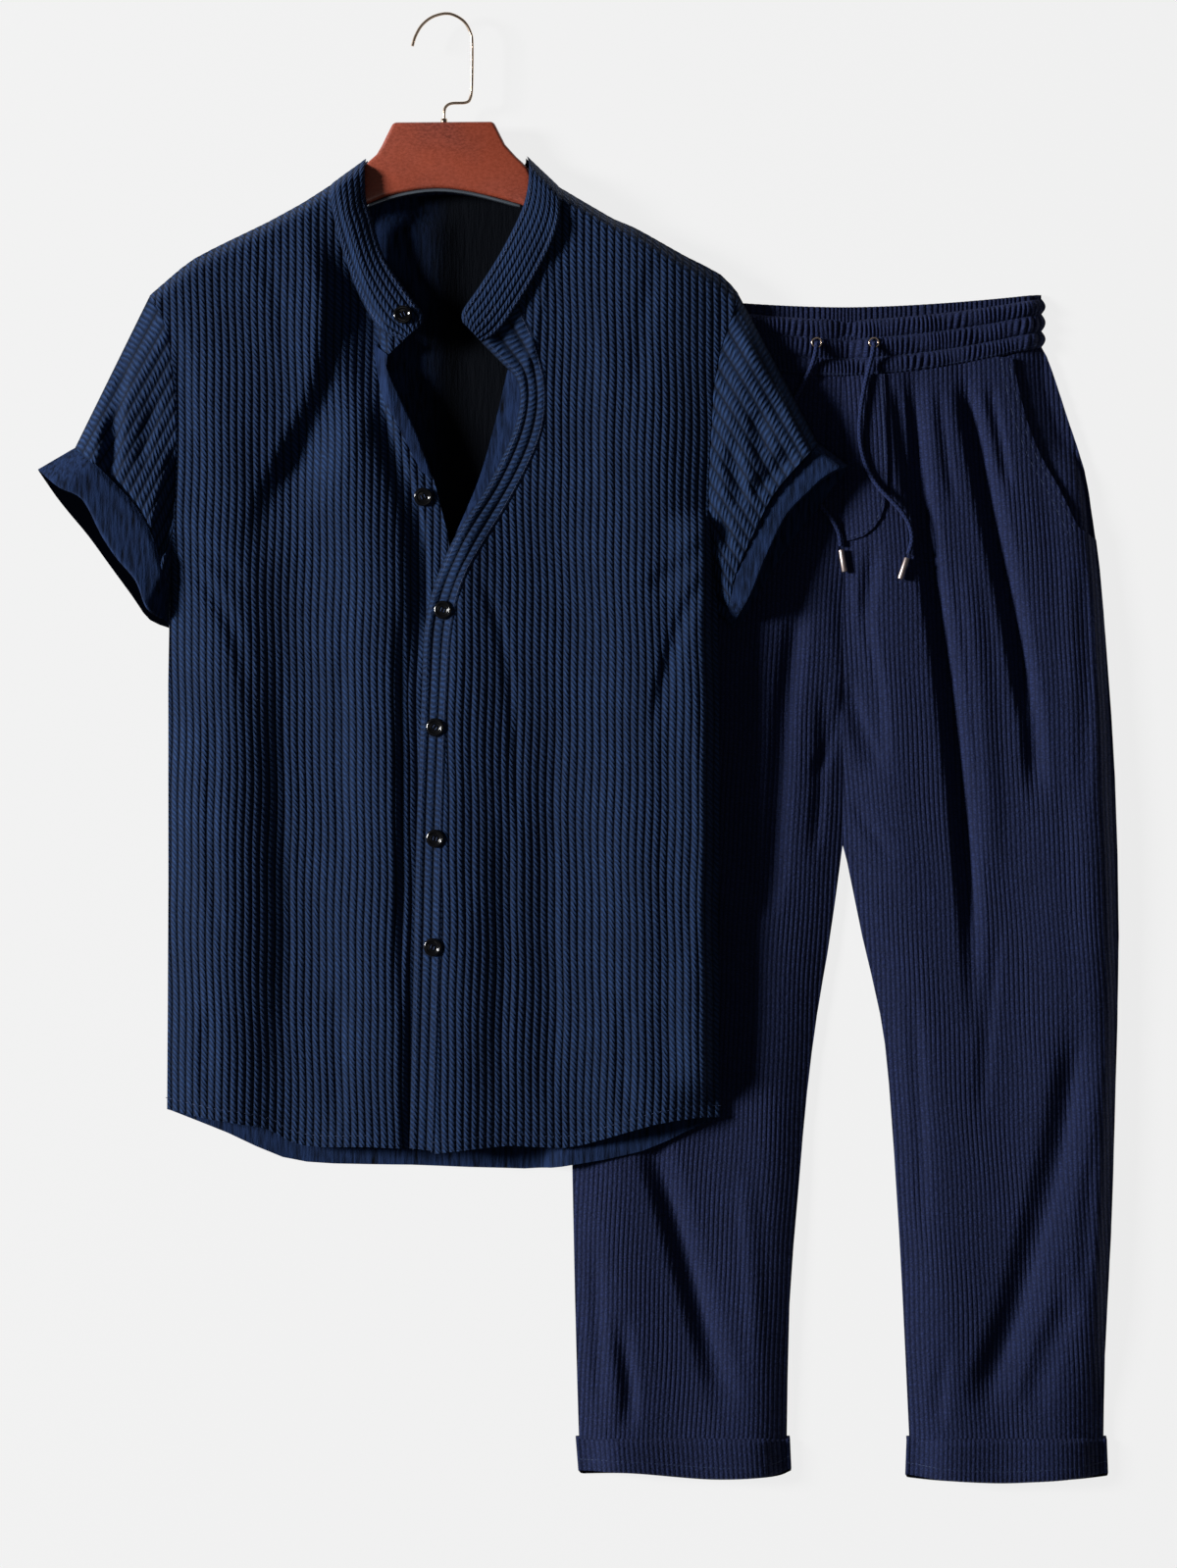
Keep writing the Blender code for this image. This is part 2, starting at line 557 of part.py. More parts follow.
def ribbed_panel(name, outline, surface, inside, least, pitch, rows, lean=0.0):
    """A panel of ribbed cloth: ribs down its outer side, plain inside, cut to its outline."""
    outer, inner = [], []
    for row in rib_grid(outline, pitch, rows, lean):
        outer.append([(x, y, surface(x, y) + rib) for x, y, rib in row])
        inner.append(plain_row([(x, y) for x, y, _ in row[::2]], inside, least))
    return cut_to(wall(name, outer, inner), outline)


def strip(name, edge_a, edge_b, height, wall_of, rows, ribs=0, gap=SEAM, over=0.0):
    """A strip of cloth between two edges, with its ribs, if any, along it."""
    outer, inner = [], []
    across = 2 * ribs if ribs else 2
    for a, b in zip(evenly(edge_a, rows), evenly(edge_b, rows)):
        seam = gap / math.dist(a, b) - over
        row = []
        for k in range(across + 1):
            t = seam + (1 + over - seam) * k / across
            x = a[0] + (b[0] - a[0]) * t
            y = a[1] + (b[1] - a[1]) * t
            row.append((x, y, height(x, y, t)))
        outer.append([(x, y, z + (RIB * (k % 2) if ribs else 0.0)) for k, (x, y, z) in enumerate(row)])
        inner.append([(x, y, z - wall_of) for x, y, z in row[::across // 2]])
    return wall(name, outer, inner)


def shirt_back():
    outline = spline(SHOULDER_RIGHT)[::-1] + spline(COLLAR_BACK_SEAM) + spline(SHOULDER_LEFT)
    outline += spline(ARMHOLE_LEFT)[1:] + spline(SIDE_LEFT)[1:] + spline(BACK_HEM)[::-1][1:]
    outline += spline(SIDE_RIGHT)[::-1][1:] + spline(ARMHOLE_RIGHT)[::-1][1:-1]
    outer, inner = [], []
    for y in BACK_ROWS:
        start = at_height(OUTSEAM_RIGHT, y) - RAMP - 4
        xs = [-345] + [start + RAMP * k / 5 for k in range(6)] + [135]
        outer.append([(x, y, back_top(x, y)) for x in xs])
        inner.append([(x, y, shirt_floor(x, y)) for x in xs])
    finish(cut_to(wall("shirt_back", outer, inner), outline), "shirt cloth")


def shirt_fronts():
    right = spline(SHOULDER_RIGHT) + spline(ARMHOLE_RIGHT)[1:] + spline(SIDE_RIGHT)[1:]
    right += spline(FRONT_HEM_RIGHT)[1:] + spline(FRONT_EDGE_RIGHT)[::-1][1:]
    right += spline(COLLAR_SEAM_RIGHT)[::-1][1:-1]
    piece = ribbed_panel("shirt_front_right", right, shirt_front, front_inside(shirt_front),
                         shirt_least, SHIRT_PITCH, shirt_rows)
    finish(piece, "shirt cloth")
    left = spline(SHOULDER_LEFT) + spline(ARMHOLE_LEFT)[1:] + spline(SIDE_LEFT)[1:]
    left += spline(FRONT_HEM_LEFT[1:])[::-1][1:] + spline(PLACKET_SEAM)[::-1]
    left += spline(COLLAR_SEAM_LEFT)[::-1][5:-1]
    piece = ribbed_panel("shirt_front_left", left, left_front, front_inside(left_front),
                         shirt_least, SHIRT_PITCH, shirt_rows)
    finish(piece, "shirt cloth")


def shirt_strips():
    """The placket, the facings and the band collar, which are long strips along an edge."""
    def placket(x, y, t):
        return left_front(x, y)

    def turned(x, y, t):
        return shirt_front(x, y) + RIB + SEAM + CLOTH + 0.6

    def inner(x, y, t):
        return left_front(x, y) - thick(left_front, x, y) - SEAM - 2.2 - 5.0 * (1 - t)

    def collar_right(x, y, t):
        return shirt_front(x, y) + COLLAR_RISE * math.sin(math.pi / 2 * t)

    def collar_left(x, y, t):
        return left_front(x, y) + COLLAR_RISE * math.sin(math.pi / 2 * t)

    seam = [Point(-44, 360)] + PLACKET_SEAM + [Point(-113, -330)]
    edge = [Point(-92, 326)] + FRONT_EDGE_LEFT + [Point(-133, -328)]
    outline = spline(PLACKET_SEAM) + [(-112, -319), (-132, -315)] + spline(FRONT_EDGE_LEFT)[::-1]
    outline += spline(COLLAR_SEAM_LEFT)[::-1][1:4]
    finish(cut_to(strip("placket_left", seam, edge, placket, 1.9, 15, ribs=3, over=0.12), outline),
           "shirt cloth")
    finish(strip("facing_right", TURNED_FACING, FRONT_EDGE_RIGHT[1:6], turned, 1.2, 7), "shirt cloth")
    hidden_edge = [Point(p.x + 9, p.y) for p in FRONT_EDGE_LEFT[2:9]]
    finish(strip("facing_left", INNER_FACING, hidden_edge, inner, 1.2, 7), "shirt cloth")
    for name, seam, edge, height in (("collar_right", COLLAR_SEAM_RIGHT, COLLAR_EDGE_RIGHT, collar_right),
                                     ("collar_left", COLLAR_SEAM_LEFT, COLLAR_EDGE_LEFT, collar_left)):
        piece = strip(name, seam, edge, height, CLOTH, 10, ribs=5, over=0.08)
        finish(cut_to(piece, spline(seam) + spline(edge)[::-1]), "shirt cloth")
    finish(strip("collar_back", COLLAR_BACK_SEAM, COLLAR_BACK_TOP, lambda x, y, t: CLOTH, CLOTH, 8,
                 gap=1.0), "shirt cloth")


def tube(name, start, front_end, back_end, crest, floor, wall_of, rows, ribs=0, columns=16,
         gap=TUBE_GAP):
    """A flattened tube of cloth, such as a sleeve, between the lines where it starts and ends."""
    across = 2 * ribs if ribs else columns
    starts = evenly(start, across + 1)
    fronts = evenly(front_end, across + 1)
    backs = evenly(back_end, across + 1)
    under = [round(k * across / UNDER_COLUMNS) for k in range(UNDER_COLUMNS + 1)][::-1]
    outer, inner = [], []
    for i in range(rows):
        outer_row, inner_row = [], []
        for k in range(across + 1):
            u = k / across
            v = share(starts, fronts, u, i / (rows - 1), gap)
            x = starts[k][0] + (fronts[k][0] - starts[k][0]) * v
            y = starts[k][1] + (fronts[k][1] - starts[k][1]) * v
            low = floor(x, y) + 2 * wall_of + SEAM
            top = max(low, low + (crest(x, y, u, v) - low) * side_round(u))
            outer_row.append((x, y, top + RIB * (k % 2 if ribs else 0)))
            inner_row.append(squeeze(starts, fronts, u, v, max(top - 1.15 * wall_of, low - wall_of),
                                     wall_of))
        for k in under:
            v = share(starts, backs, k / across, i / (rows - 1), gap)
            x = starts[k][0] + (backs[k][0] - starts[k][0]) * v
            y = starts[k][1] + (backs[k][1] - starts[k][1]) * v
            outer_row.append((x, y, floor(x, y)))
            inner_row.append(squeeze(starts, backs, k / across, v, floor(x, y) + wall_of, wall_of))
        outer.append(outer_row)
        inner.append(inner_row)
    return wall(name, outer, inner, closed=True)


def share(starts, ends, u, v, gap):
    """Share of the way from the start to the end, less the gap at the seam that the tube is sewn to."""
    k = round(u * (len(starts) - 1))
    less = gap / math.dist(starts[k], ends[k])
    return less + (1 - less) * v


def side_round(u):
    """Rounding of a flattened tube towards its two side folds."""
    return math.sin(math.pi / 2 * min(1.0, u / 0.2)) * math.sin(math.pi / 2 * min(1.0, (1 - u) / 0.14))


def squeeze(starts, ends, u, v, z, wall_of):
    """Point of the tube's inner side, which stays one wall away from the two side folds."""
    width = math.dist(ends[0], ends[-1])
    edge = wall_of / width
    w = (edge + u * (1 - 2 * edge)) * (len(starts) - 1)
    k = min(int(w), len(starts) - 2)
    a = [starts[k][i] + (starts[k + 1][i] - starts[k][i]) * (w - k) for i in (0, 1)]
    b = [ends[k][i] + (ends[k + 1][i] - ends[k][i]) * (w - k) for i in (0, 1)]
    return (a[0] + (b[0] - a[0]) * v, a[1] + (b[1] - a[1]) * v, z)


def sleeves():
    for side, armhole, end, cuff_front, cuff_back, floor, low in (
            ("right", ARMHOLE_RIGHT, SLEEVE_END_RIGHT, CUFF_FRONT_RIGHT, CUFF_BACK_RIGHT,
             lambda x, y: 0.0, 0.0),
            ("left", ARMHOLE_LEFT, SLEEVE_END_LEFT, CUFF_FRONT_LEFT, CUFF_BACK_LEFT,
             lambda x, y: OVER, OVER)):
        folds = SLEEVE_FOLDS[side]

        def crest(x, y, u, v):
            body = shirt_front(*armhole_point(armhole, u))
            end_height = low + SLEEVE_HEIGHT
            return body + (end_height - body) * ease(v * 1.2) - fold_depth(folds, x, y)

        def turned_up(x, y, u, v):
            return low + SLEEVE_HEIGHT + CUFF_PROUD + CUFF_FLARE * v

        piece = tube("sleeve_" + side, armhole, end, end, crest, floor, CLOTH, 4, ribs=SLEEVE_RIBS)
        finish(piece, "shirt cloth")
        piece = tube("sleeve_turnup_" + side, end, cuff_front, cuff_back, turned_up, floor, CUFF_WALL, 3,
                     columns=14, gap=CUFF_GAP)
        finish(piece, "shirt cloth")


def armhole_point(armhole, u):
    path = evenly(armhole, 21)
    k = min(19, int(u * 20))
    t = u * 20 - k
    return tuple(a + (b - a) * t for a, b in zip(path[k], path[k + 1]))


def band_line(line, x):
    """Height up the garment of one of the waistband's lines, which rise towards the sides."""
    return line[1] + line[2] * (min(1.0, abs(x - MIDDLE) / BAND_HALF)) ** BAND_POWER


def waistband():
    outer, inner, back, back_low = [], [], [], []
    columns = 2 * GATHERS
    xs = spread(MIDDLE - BAND_HALF, MIDDLE + BAND_HALF, columns + 1)
    for i in range(2 * (len(BAND_LINES) - 1) + 1):
        row, low_row = [], []
        for k, x in enumerate(xs):
            a = band_line(BAND_LINES[i // 2], x)
            b = band_line(BAND_LINES[min(len(BAND_LINES) - 1, (i + 1) // 2)], x)
            puff = CHANNEL if i % 2 else 0.0
            turn = math.sin(math.pi / 2 * min(1.0, (BAND_HALF - abs(x - MIDDLE)) / BAND_ROUND))
            wave = GATHER * (0.5 if k % 2 else -0.5) * (1.0 if i % 2 else 0.5)
            y = (a + b) / 2 + (SEAM if i == 0 else 0)
            row.append((x, y, BAND_END + (BAND_HEIGHT + puff + wave - BAND_END) * turn))
            low_row.append((x, y, BAND_LOW + (BAND_HEIGHT - CLOTH - GATHER / 2 - BAND_LOW) * turn))
        outer.append(row)
        inner.append(low_row[::8])
    finish(wall("waistband_front", outer, inner), "trouser cloth")
    for drop, waved in ((0.0, True), (BAND_SHOWN, True), (BAND_SHOWN + 2, False), (None, False)):
        row = []
        for k, x in enumerate(xs):
            low = band_line(BAND_LINES[0], x) + SEAM
            y = low if drop is None else band_line(BAND_BACK_TOP, x) - drop
            row.append((x, y, CLOTH + (GATHER * (k % 2) if waved else 0.0)))
        back.append(row)
        back_low.append([(x, y, 0.0) for x, y, _ in row[::8]])
    finish(wall("waistband_back", back, back_low), "trouser cloth")


def trouser_outline(outseam, inseam, ends):
    """Outline of one leg, from the waist seam at the side round to the centre."""
    seam = [(x, band_line(BAND_LINES[0], x)) for x in spread(MIDDLE, ends, 14)]
    side = [p for p in spline(outseam) if p[1] < seam[-1][1] - 0.5]
    return seam + side + spline(inseam)[::-1]


def trousers():
    right = trouser_outline(OUTSEAM_RIGHT, INSEAM_RIGHT, MIDDLE - BAND_HALF)
    left = trouser_outline(OUTSEAM_LEFT, INSEAM_LEFT, MIDDLE + BAND_HALF)
    for side, outline in (("right", right), ("left", left)):
        xs = (-20, 220) if side == "right" else (200, 440)
        ys = (325, -555)
        top = [[(x, y, CLOTH) for x in xs] for y in ys]
        low = [[(x, y, 0.0) for x in xs] for y in ys]
        finish(cut_to(wall("trouser_back_" + side, top, low), outline), "trouser cloth")
    piece = ribbed_panel("trouser_front_right", right, trousers_front, trousers_inside,
                         trousers_least, TROUSER_PITCH, lambda x: RIGHT_LEG_ROWS, -LEAN)
    finish(piece, "trouser cloth")
    mouth = spline(POCKET_MOUTH)
    seam = [(x, band_line(BAND_LINES[0], x)) for x in spread(MIDDLE, POCKET_MOUTH[0].x, 12)]
    side = [p for p in spline(OUTSEAM_LEFT) if p[1] < POCKET_MOUTH[-1].y - 8]
    front = seam[:-1] + mouth + side + spline(INSEAM_LEFT)[::-1]
    piece = ribbed_panel("trouser_front_left", front, trousers_front, trousers_inside,
                         trousers_least, TROUSER_PITCH, lambda x: LEFT_LEG_ROWS, LEAN)
    finish(piece, "trouser cloth")

    def facing(x, y):
        return max(EDGE, trousers_inside(x, y) - SEAM - RIB - 0.4)

    def facing_inside(x, y):
        return max(CLOTH + SEAM, facing(x, y) - thick(facing, x, y))

    tucked = [(x - FACING_TUCK, y) for x, y in mouth]
    seam = [(x, band_line(BAND_LINES[0], x)) for x in (MIDDLE + BAND_HALF - 12, MIDDLE + BAND_HALF)]
    side = [p for p in spline(OUTSEAM_LEFT) if POCKET_MOUTH[-1].y - 6 < p[1] < seam[-1][1] - 0.5]
    piece = ribbed_panel("pocket_facing_left", seam + side + tucked[::-1], facing, facing_inside,
                         trousers_least, TROUSER_PITCH, lambda x: LEFT_LEG_ROWS[:3], LEAN)
    finish(piece, "trouser cloth")

    grid = rib_grid(front, TROUSER_PITCH, lambda x: LEFT_LEG_ROWS, LEAN)[:3]
    start = min(k for k in range(len(grid[0])) if grid[1][k][0] > MIDDLE - 8)
    end = min(k for k in range(len(grid[0])) if grid[1][k][0] > FLY_EDGE[0].x + 8)
    low = [[(x, y, trousers_front(x, y) + rib + 2 * SEAM) for x, y, rib in row[start:end]] for row in grid]
    top = [[(x, y, z + FLY_WALL) for x, y, z in row] for row in low]
    edge = [(MIDDLE + 1, band_line(BAND_LINES[0], MIDDLE)), (FLY_EDGE[0].x, band_line(BAND_LINES[0], 241))]
    finish(cut_to(wall("fly", top, low), edge + spline(FLY_EDGE)), "trouser cloth")


def trouser_turnups():
    for side, front, outseam, inseam in (("right", TURNUP_FRONT_RIGHT, OUTSEAM_RIGHT, INSEAM_RIGHT),
                                         ("left", TURNUP_FRONT_LEFT, INSEAM_LEFT, OUTSEAM_LEFT)):
        start = [outseam[-1], inseam[-1]]
        back = [Point(p.x, p.y - TURNUP_DROP) for p in front]

        def crest(x, y, u, v):
            return trousers_front(x, outseam[-1].y) + TURNUP_PROUD

        piece = tube("hem_turnup_" + side, start, front, back, crest, lambda x, y: 0.0, TURNUP_WALL, 2,
                     ribs=TURNUP_RIBS, gap=2 * SEAM)
        finish(piece, "trouser cloth")


def cord(name, route, across, slot):
    """A round cord or wire along its route."""
    steps = max(6, round(sum(math.dist(a, b) for a, b in zip(route, route[1:])) / (across * 3)))
    curve = bpy.data.curves.new(name, "CURVE")
    curve.dimensions = "3D"
    curve.bevel_depth = across / 2 * MM
    curve.bevel_resolution = 2
    curve.use_fill_caps = True
    line = curve.splines.new("POLY")
    path = evenly(route, steps)
    line.points.add(len(path) - 1)
    for point, where in zip(line.points, path):
        point.co = (*place(*where), 1.0)
        point.radius = 1.0
    obj = bpy.data.objects.new(name, curve)
    bpy.context.scene.collection.objects.link(obj)
    return finish(obj, slot)


def drawstrings():
    for side, route in (("right", CORD_RIGHT), ("left", CORD_LEFT)):
        cord("drawstring_" + side, route, CORD, "cord")
        start, end = (place(*knot) for knot in TIPS[side])
        bm = bmesh.new()
        bmesh.ops.create_cone(bm, cap_ends=True, segments=12, radius1=TIP / 2 * MM, radius2=TIP / 2 * MM,
                              depth=(end - start).length)
        turn = (end - start).to_track_quat("Z", "Y").to_matrix().to_4x4()
        bm.transform(turn)
        bmesh.ops.translate(bm, verts=bm.verts, vec=(start + end) / 2)
        finish(make_object("tip_" + side, bm), "pale gold", smooth=True)
        ring(side)


def ring(side):
    """An eyelet's metal rim on the waistband, round the cord."""
    where = EYELETS[side]
    bpy.ops.mesh.primitive_torus_add(
        location=place(where.x, where.y, EYELET_HEIGHT), major_segments=12, minor_segments=5,
        major_radius=(EYELET_OUTER - EYELET_WIRE) / 2 * MM, minor_radius=EYELET_WIRE / 2 * MM)
    obj = bpy.context.object
    obj.name = "eyelet_" + side
    finish(obj, "pale gold", smooth=True)


def buttons():
    surfaces = {
        "collar": lambda x, y: shirt_front(x, y) + COLLAR_RISE,
        "right": shirt_front,
        "lap": left_front,
    }
    half = BUTTON_ACROSS / 2
    for number, button in enumerate(BUTTONS, 1):
        surface = surfaces[button.piece]
        reach = half * 0.8
        slope_x = (surface(button.x + reach, button.y) - surface(button.x - reach, button.y)) / (2 * reach)
        slope_y = (surface(button.x, button.y + reach) - surface(button.x, button.y - reach)) / (2 * reach)
        up = Vector((-slope_x, -slope_y, 1.0)).normalized()
        seat = 0.0
        for k in range(24):
            for share in (0.5, 1.0):
                x = half * share * math.cos(math.tau * k / 24)
                y = half * share * math.sin(math.tau * k / 24)
                plane = surface(button.x, button.y) + slope_x * x + slope_y * y
                seat = max(seat, surface(button.x + x, button.y + y) - plane)
        base = surface(button.x, button.y) + seat + RIB + SEAM + 0.1 - button.drop
        bm = bmesh.new()
        rim = [(0.0, 0.62), (0.58, 0.62), (0.7, 1.0), (1.0, 0.8), (0.86, 0.0), (0.0, 0.0)]
        profile_points = [bm.verts.new((r * half * MM, 0, h * BUTTON_THICK * MM)) for r, h in rim]
        edges = [bm.edges.new(pair) for pair in zip(profile_points, profile_points[1:])]
        bmesh.ops.spin(bm, geom=profile_points + edges, cent=(0, 0, 0), axis=(0, 0, 1),
                       angle=math.tau, steps=12, use_merge=True)
        bmesh.ops.remove_doubles(bm, verts=bm.verts, dist=1e-6)
        obj = make_object(f"button_{number}", bm)
        holes = bmesh.new()
        for k in range(4):
            angle = button.turn + math.tau * k / 4
            made = bmesh.ops.create_cone(holes, cap_ends=True, segments=4, radius1=0.95 * MM,
                                         radius2=0.95 * MM, depth=4 * BUTTON_THICK * MM)
            bmesh.ops.translate(holes, verts=made["verts"],
                                vec=(1.9 * MM * math.cos(angle), 1.9 * MM * math.sin(angle), 0))
        drill = make_object(obj.name + "_holes", holes)
        drill.display_type = "WIRE"
        drill.hide_render = True
        turn = up.to_track_quat("Z", "Y").to_euler()
        for piece in (obj, drill):
            piece.location = place(button.x, button.y, base)
            piece.rotation_euler = turn
        cut = obj.modifiers.new("holes", "BOOLEAN")
        cut.operation = "DIFFERENCE"
        cut.object = drill
        finish(obj, "button")


def hanger_height(x):
    return HANGER_SEAT + HANGER_RISE * (x - HANGER_START)


def plate(name, outline, low, high, slot, bevel=0.0):
    """A flat piece with this outline in the hanger's tipped plane."""
    bm = bmesh.new()
    lower = [bm.verts.new(place(x, y, hanger_height(x) + low)) for x, y in outline]
    upper = [bm.verts.new(place(x, y, hanger_height(x) + high)) for x, y in outline]
    bm.faces.new(lower[::-1])
    bm.faces.new(upper)
    for k in range(len(outline)):
        j = (k + 1) % len(outline)
        bm.faces.new((lower[k], lower[j], upper[j], upper[k]))
    obj = make_object(name, bm)
    if bevel:
        edge = obj.modifiers.new("rounded edge", "BEVEL")
        edge.width = bevel * MM
        edge.segments = 1
        edge.limit_method = "ANGLE"
        edge.angle_limit = math.radians(60)
    return finish(obj, slot)


def hanger():
    outline = HANGER_TOP + spline(HANGER_LOW)
    plate("hanger", outline, 0.0, HANGER_THICK, "wood", HANGER_BEVEL)
    arc = spline(HANGER_LOW[4:9], 3)
    strip_outline = [(x, y - SEAM) for x, y in arc]
    strip_outline += [(x, y - SEAM - STRIP_WIDE) for x, y in arc[::-1]]
    plate("hanger_strip", strip_outline, 3.0, 8.0, "grey metal")
    middle = hanger_height(HOOK[0].x) + HANGER_THICK / 2
    cord("hook", [(*p, middle) for p in spline(HOOK, 3)], HOOK_WIRE, "grey metal")


def build():
    clear_scene()
    shirt_back()
    shirt_fronts()
    shirt_strips()
    sleeves()
    waistband()
    trousers()
    trouser_turnups()
    drawstrings()
    buttons()
    hanger()


if __name__ == "__main__":
    build()
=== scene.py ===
# Looks of a ribbed shirt and trousers set, laid out flat with a wooden hanger in the shirt.
# Sizes in the tables are millimetres, X to the right, Y towards the hook, Z up. Right is the wearer's.
import math
from collections import namedtuple

import bmesh
import bpy
import numpy as np
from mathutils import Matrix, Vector


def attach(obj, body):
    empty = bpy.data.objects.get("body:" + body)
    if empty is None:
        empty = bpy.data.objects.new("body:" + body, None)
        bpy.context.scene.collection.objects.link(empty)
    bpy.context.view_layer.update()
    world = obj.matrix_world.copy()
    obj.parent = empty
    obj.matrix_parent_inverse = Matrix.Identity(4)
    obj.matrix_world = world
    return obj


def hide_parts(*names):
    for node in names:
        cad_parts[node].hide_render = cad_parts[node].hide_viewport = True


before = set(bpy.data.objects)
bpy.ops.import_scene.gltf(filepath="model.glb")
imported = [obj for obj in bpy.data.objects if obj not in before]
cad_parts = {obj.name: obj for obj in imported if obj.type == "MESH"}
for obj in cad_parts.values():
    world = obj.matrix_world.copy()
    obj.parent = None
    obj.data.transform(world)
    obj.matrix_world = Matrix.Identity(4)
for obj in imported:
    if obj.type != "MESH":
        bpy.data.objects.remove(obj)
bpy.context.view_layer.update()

mm = 0.001
pi = math.pi
centre = (0.4, -2.1)
cloth = 1.8                # wall of the cloth under its ribs
seam = 0.3                 # gap between pieces at a seam
rib = 0.9                  # height of a rib
shirtPitch = 5.9           # ribs of the shirt
trouserPitch = 3.7         # ribs of the trousers, finer than the solids' grid
edge = 2 * cloth + seam    # height of two layers at a flat edge
over = 14.3                # the shirt's underside where it lies on the trousers
ramp = 22.0                # width over which the shirt climbs onto the trousers
shoulderRoll = 13.0        # width over which the front turns down to the shoulder seam
shoulderSlant = 0.88       # cosine of the shoulder line's slope
lap = 3.9                  # how far the left front lies above the right one
lapEnd = -92.0             # where the left front starts to come down beside the lap
lapFade = 34.0
middle = 209.0             # centre line of the trousers

Point = namedtuple("Point", "x y")
Ridge = namedtuple("Ridge", "name x height")
Fold = namedtuple("Fold", "name depth half path")
Crease = namedtuple("Crease", "name depth left right fade path")
Button = namedtuple("Button", "x y turn piece")
Knot = namedtuple("Knot", "x y z")


def points(*pairs):
    return [Point(*pair) for pair in pairs]


# Rows of one kind, whose last column is a path.
def rowsOf(kind, *rows):
    return [kind(*row[:-1], points(*row[-1])) for row in rows]


# Edges of the shirt, each one from its upper end to its lower end.
shoulderRight = points((-194, 444), (-216, 430), (-245, 414), (-274, 400), (-303, 385), (-322, 370),
    (-338, 356))
armholeRight = points((-338, 356), (-331, 346), (-323, 328), (-318, 296), (-315, 250), (-316, 200),
    (-319, 165), (-321, 131))
sideRight = points((-321, 131), (-323, 50), (-323, -110), (-324, -286))
shoulderLeft = points((-15, 442), (24, 419), (55, 402), (85, 385), (112, 371), (126, 356))
armholeLeft = points((126, 356), (124, 346), (114, 319), (107, 288), (104, 247), (102, 195), (104, 164),
    (108, 124), (110, 104))
sideLeft = points((110, 104), (111, 0), (111, -150), (111, -291))
frontHemRight = points((-324, -286), (-288, -293), (-246, -300), (-226, -311), (-202, -315), (-163, -314),
    (-99, -317))
frontHemLeft = points((-132, -315), (-112, -319), (-87, -316), (-53, -313), (-11, -315), (19, -308),
    (59, -296), (92, -291), (111, -291))
backHem = points((-324, -286), (-276, -305), (-233, -324), (-193, -329), (-132, -330), (-42, -333),
    (-5, -329), (50, -318), (86, -302), (111, -291))
frontEdgeLeft = points((-75, 316), (-60, 301), (-48, 288), (-45, 272), (-49, 251), (-58, 229), (-74, 198),
    (-91, 173), (-102, 153), (-113, 125), (-120, 94), (-122, 47), (-126, -59), (-129, -191), (-132, -315))
frontEdgeRight = points((-137, 318), (-149, 307), (-149, 296), (-139, 274), (-125, 243), (-113, 209),
    (-105, 178), (-100, 150), (-99, 60), (-99, -317))
collarSeamRight = points((-194, 444), (-193, 425), (-186, 394), (-172, 355), (-156, 329), (-137, 318))
collarEdgeRight = points((-167, 464), (-166, 430), (-162, 418), (-152, 385), (-130, 352), (-121, 339),
    (-122, 331))
collarSeamLeft = points((-15, 442), (-15, 408), (-29, 375), (-46, 346), (-63, 323), (-75, 316))
collarEdgeLeft = points((-40, 466), (-38, 452), (-42, 425), (-58, 391), (-77, 360), (-90, 341),
    (-90, 332))
placketSeam = points((-46, 346), (-33, 318), (-25, 288), (-24, 264), (-29, 240), (-41, 213), (-57, 184),
    (-73, 158), (-88, 130), (-97, 98), (-101, 50), (-105, -59), (-108, -191), (-112, -317))
collarBackTop = points((-166, 463), (-158, 457), (-104, 459), (-48, 457), (-41, 465))
collarBackSeam = points((-193, 441), (-157, 434), (-105, 438), (-50, 434), (-16, 441))
turnedFacing = points((-161, 318), (-158, 296), (-153, 274), (-145, 260), (-133, 236), (-123, 216))
innerFacing = points((-55, 296), (-65, 254), (-77, 212), (-91, 178), (-99, 161))

# Edges of the sleeves and of their turn-ups, from the outer end to the underarm.
sleeveEndRight = points((-397, 236), (-380, 221), (-360, 201), (-348, 187), (-336, 166), (-329, 145),
    (-326, 119))
cuffFrontRight = points((-426, 219), (-408, 204), (-389, 194), (-374, 166), (-362, 148), (-347, 130),
    (-338, 108), (-331, 96))
cuffBackRight = points((-426, 218), (-413, 199), (-402, 185), (-387, 167), (-371, 145), (-352, 119),
    (-339, 101), (-330, 91))
sleeveEndLeft = points((189, 238), (165, 212), (151, 194), (140, 172), (131, 153), (121, 127), (119, 97))
cuffFrontLeft = points((213, 221), (193, 210), (182, 200), (165, 183), (156, 167), (146, 145), (135, 118),
    (123, 97))
cuffBackLeft = points((213, 220), (199, 202), (189, 187), (172, 167), (152, 137), (135, 108), (129, 98),
    (122, 93))

# Edges of the trousers.
outseamRight = points((52, 316), (38, 278), (25, 240), (15, 194), (8, 147), (2, 86), (-3, 9), (-7, -68),
    (-7, -184), (-5, -290), (-2, -438), (1, -546))
outseamLeft = points((367, 316), (375, 295), (387, 258), (400, 218), (406, 182), (412, 140), (418, 67),
    (424, -25), (427, -150), (424, -285), (421, -383), (416, -480), (415, -546))
inseamRight = points((middle, -77), (204, -115), (197, -163), (189, -210), (181, -272), (174, -350),
    (167, -440), (165, -546))
inseamLeft = points((middle, -77), (213, -91), (225, -150), (239, -211), (246, -266), (254, -383),
    (259, -480), (262, -546))
pocketMouth = points((342, 306), (351, 264), (363, 231), (378, 204), (393, 173))
flyEdge = points((241, 292), (243, 248), (243, 205), (238, 180), (225, 166), (middle + 1, 162))
turnupFrontRight = points((3, -571), (42, -571), (107, -576), (152, -574), (166, -569))
turnupFrontLeft = points((261, -574), (290, -577), (338, -579), (390, -576), (416, -573))
turnupDrop = 3.0           # the back of a turned-up hem shows below its front by this

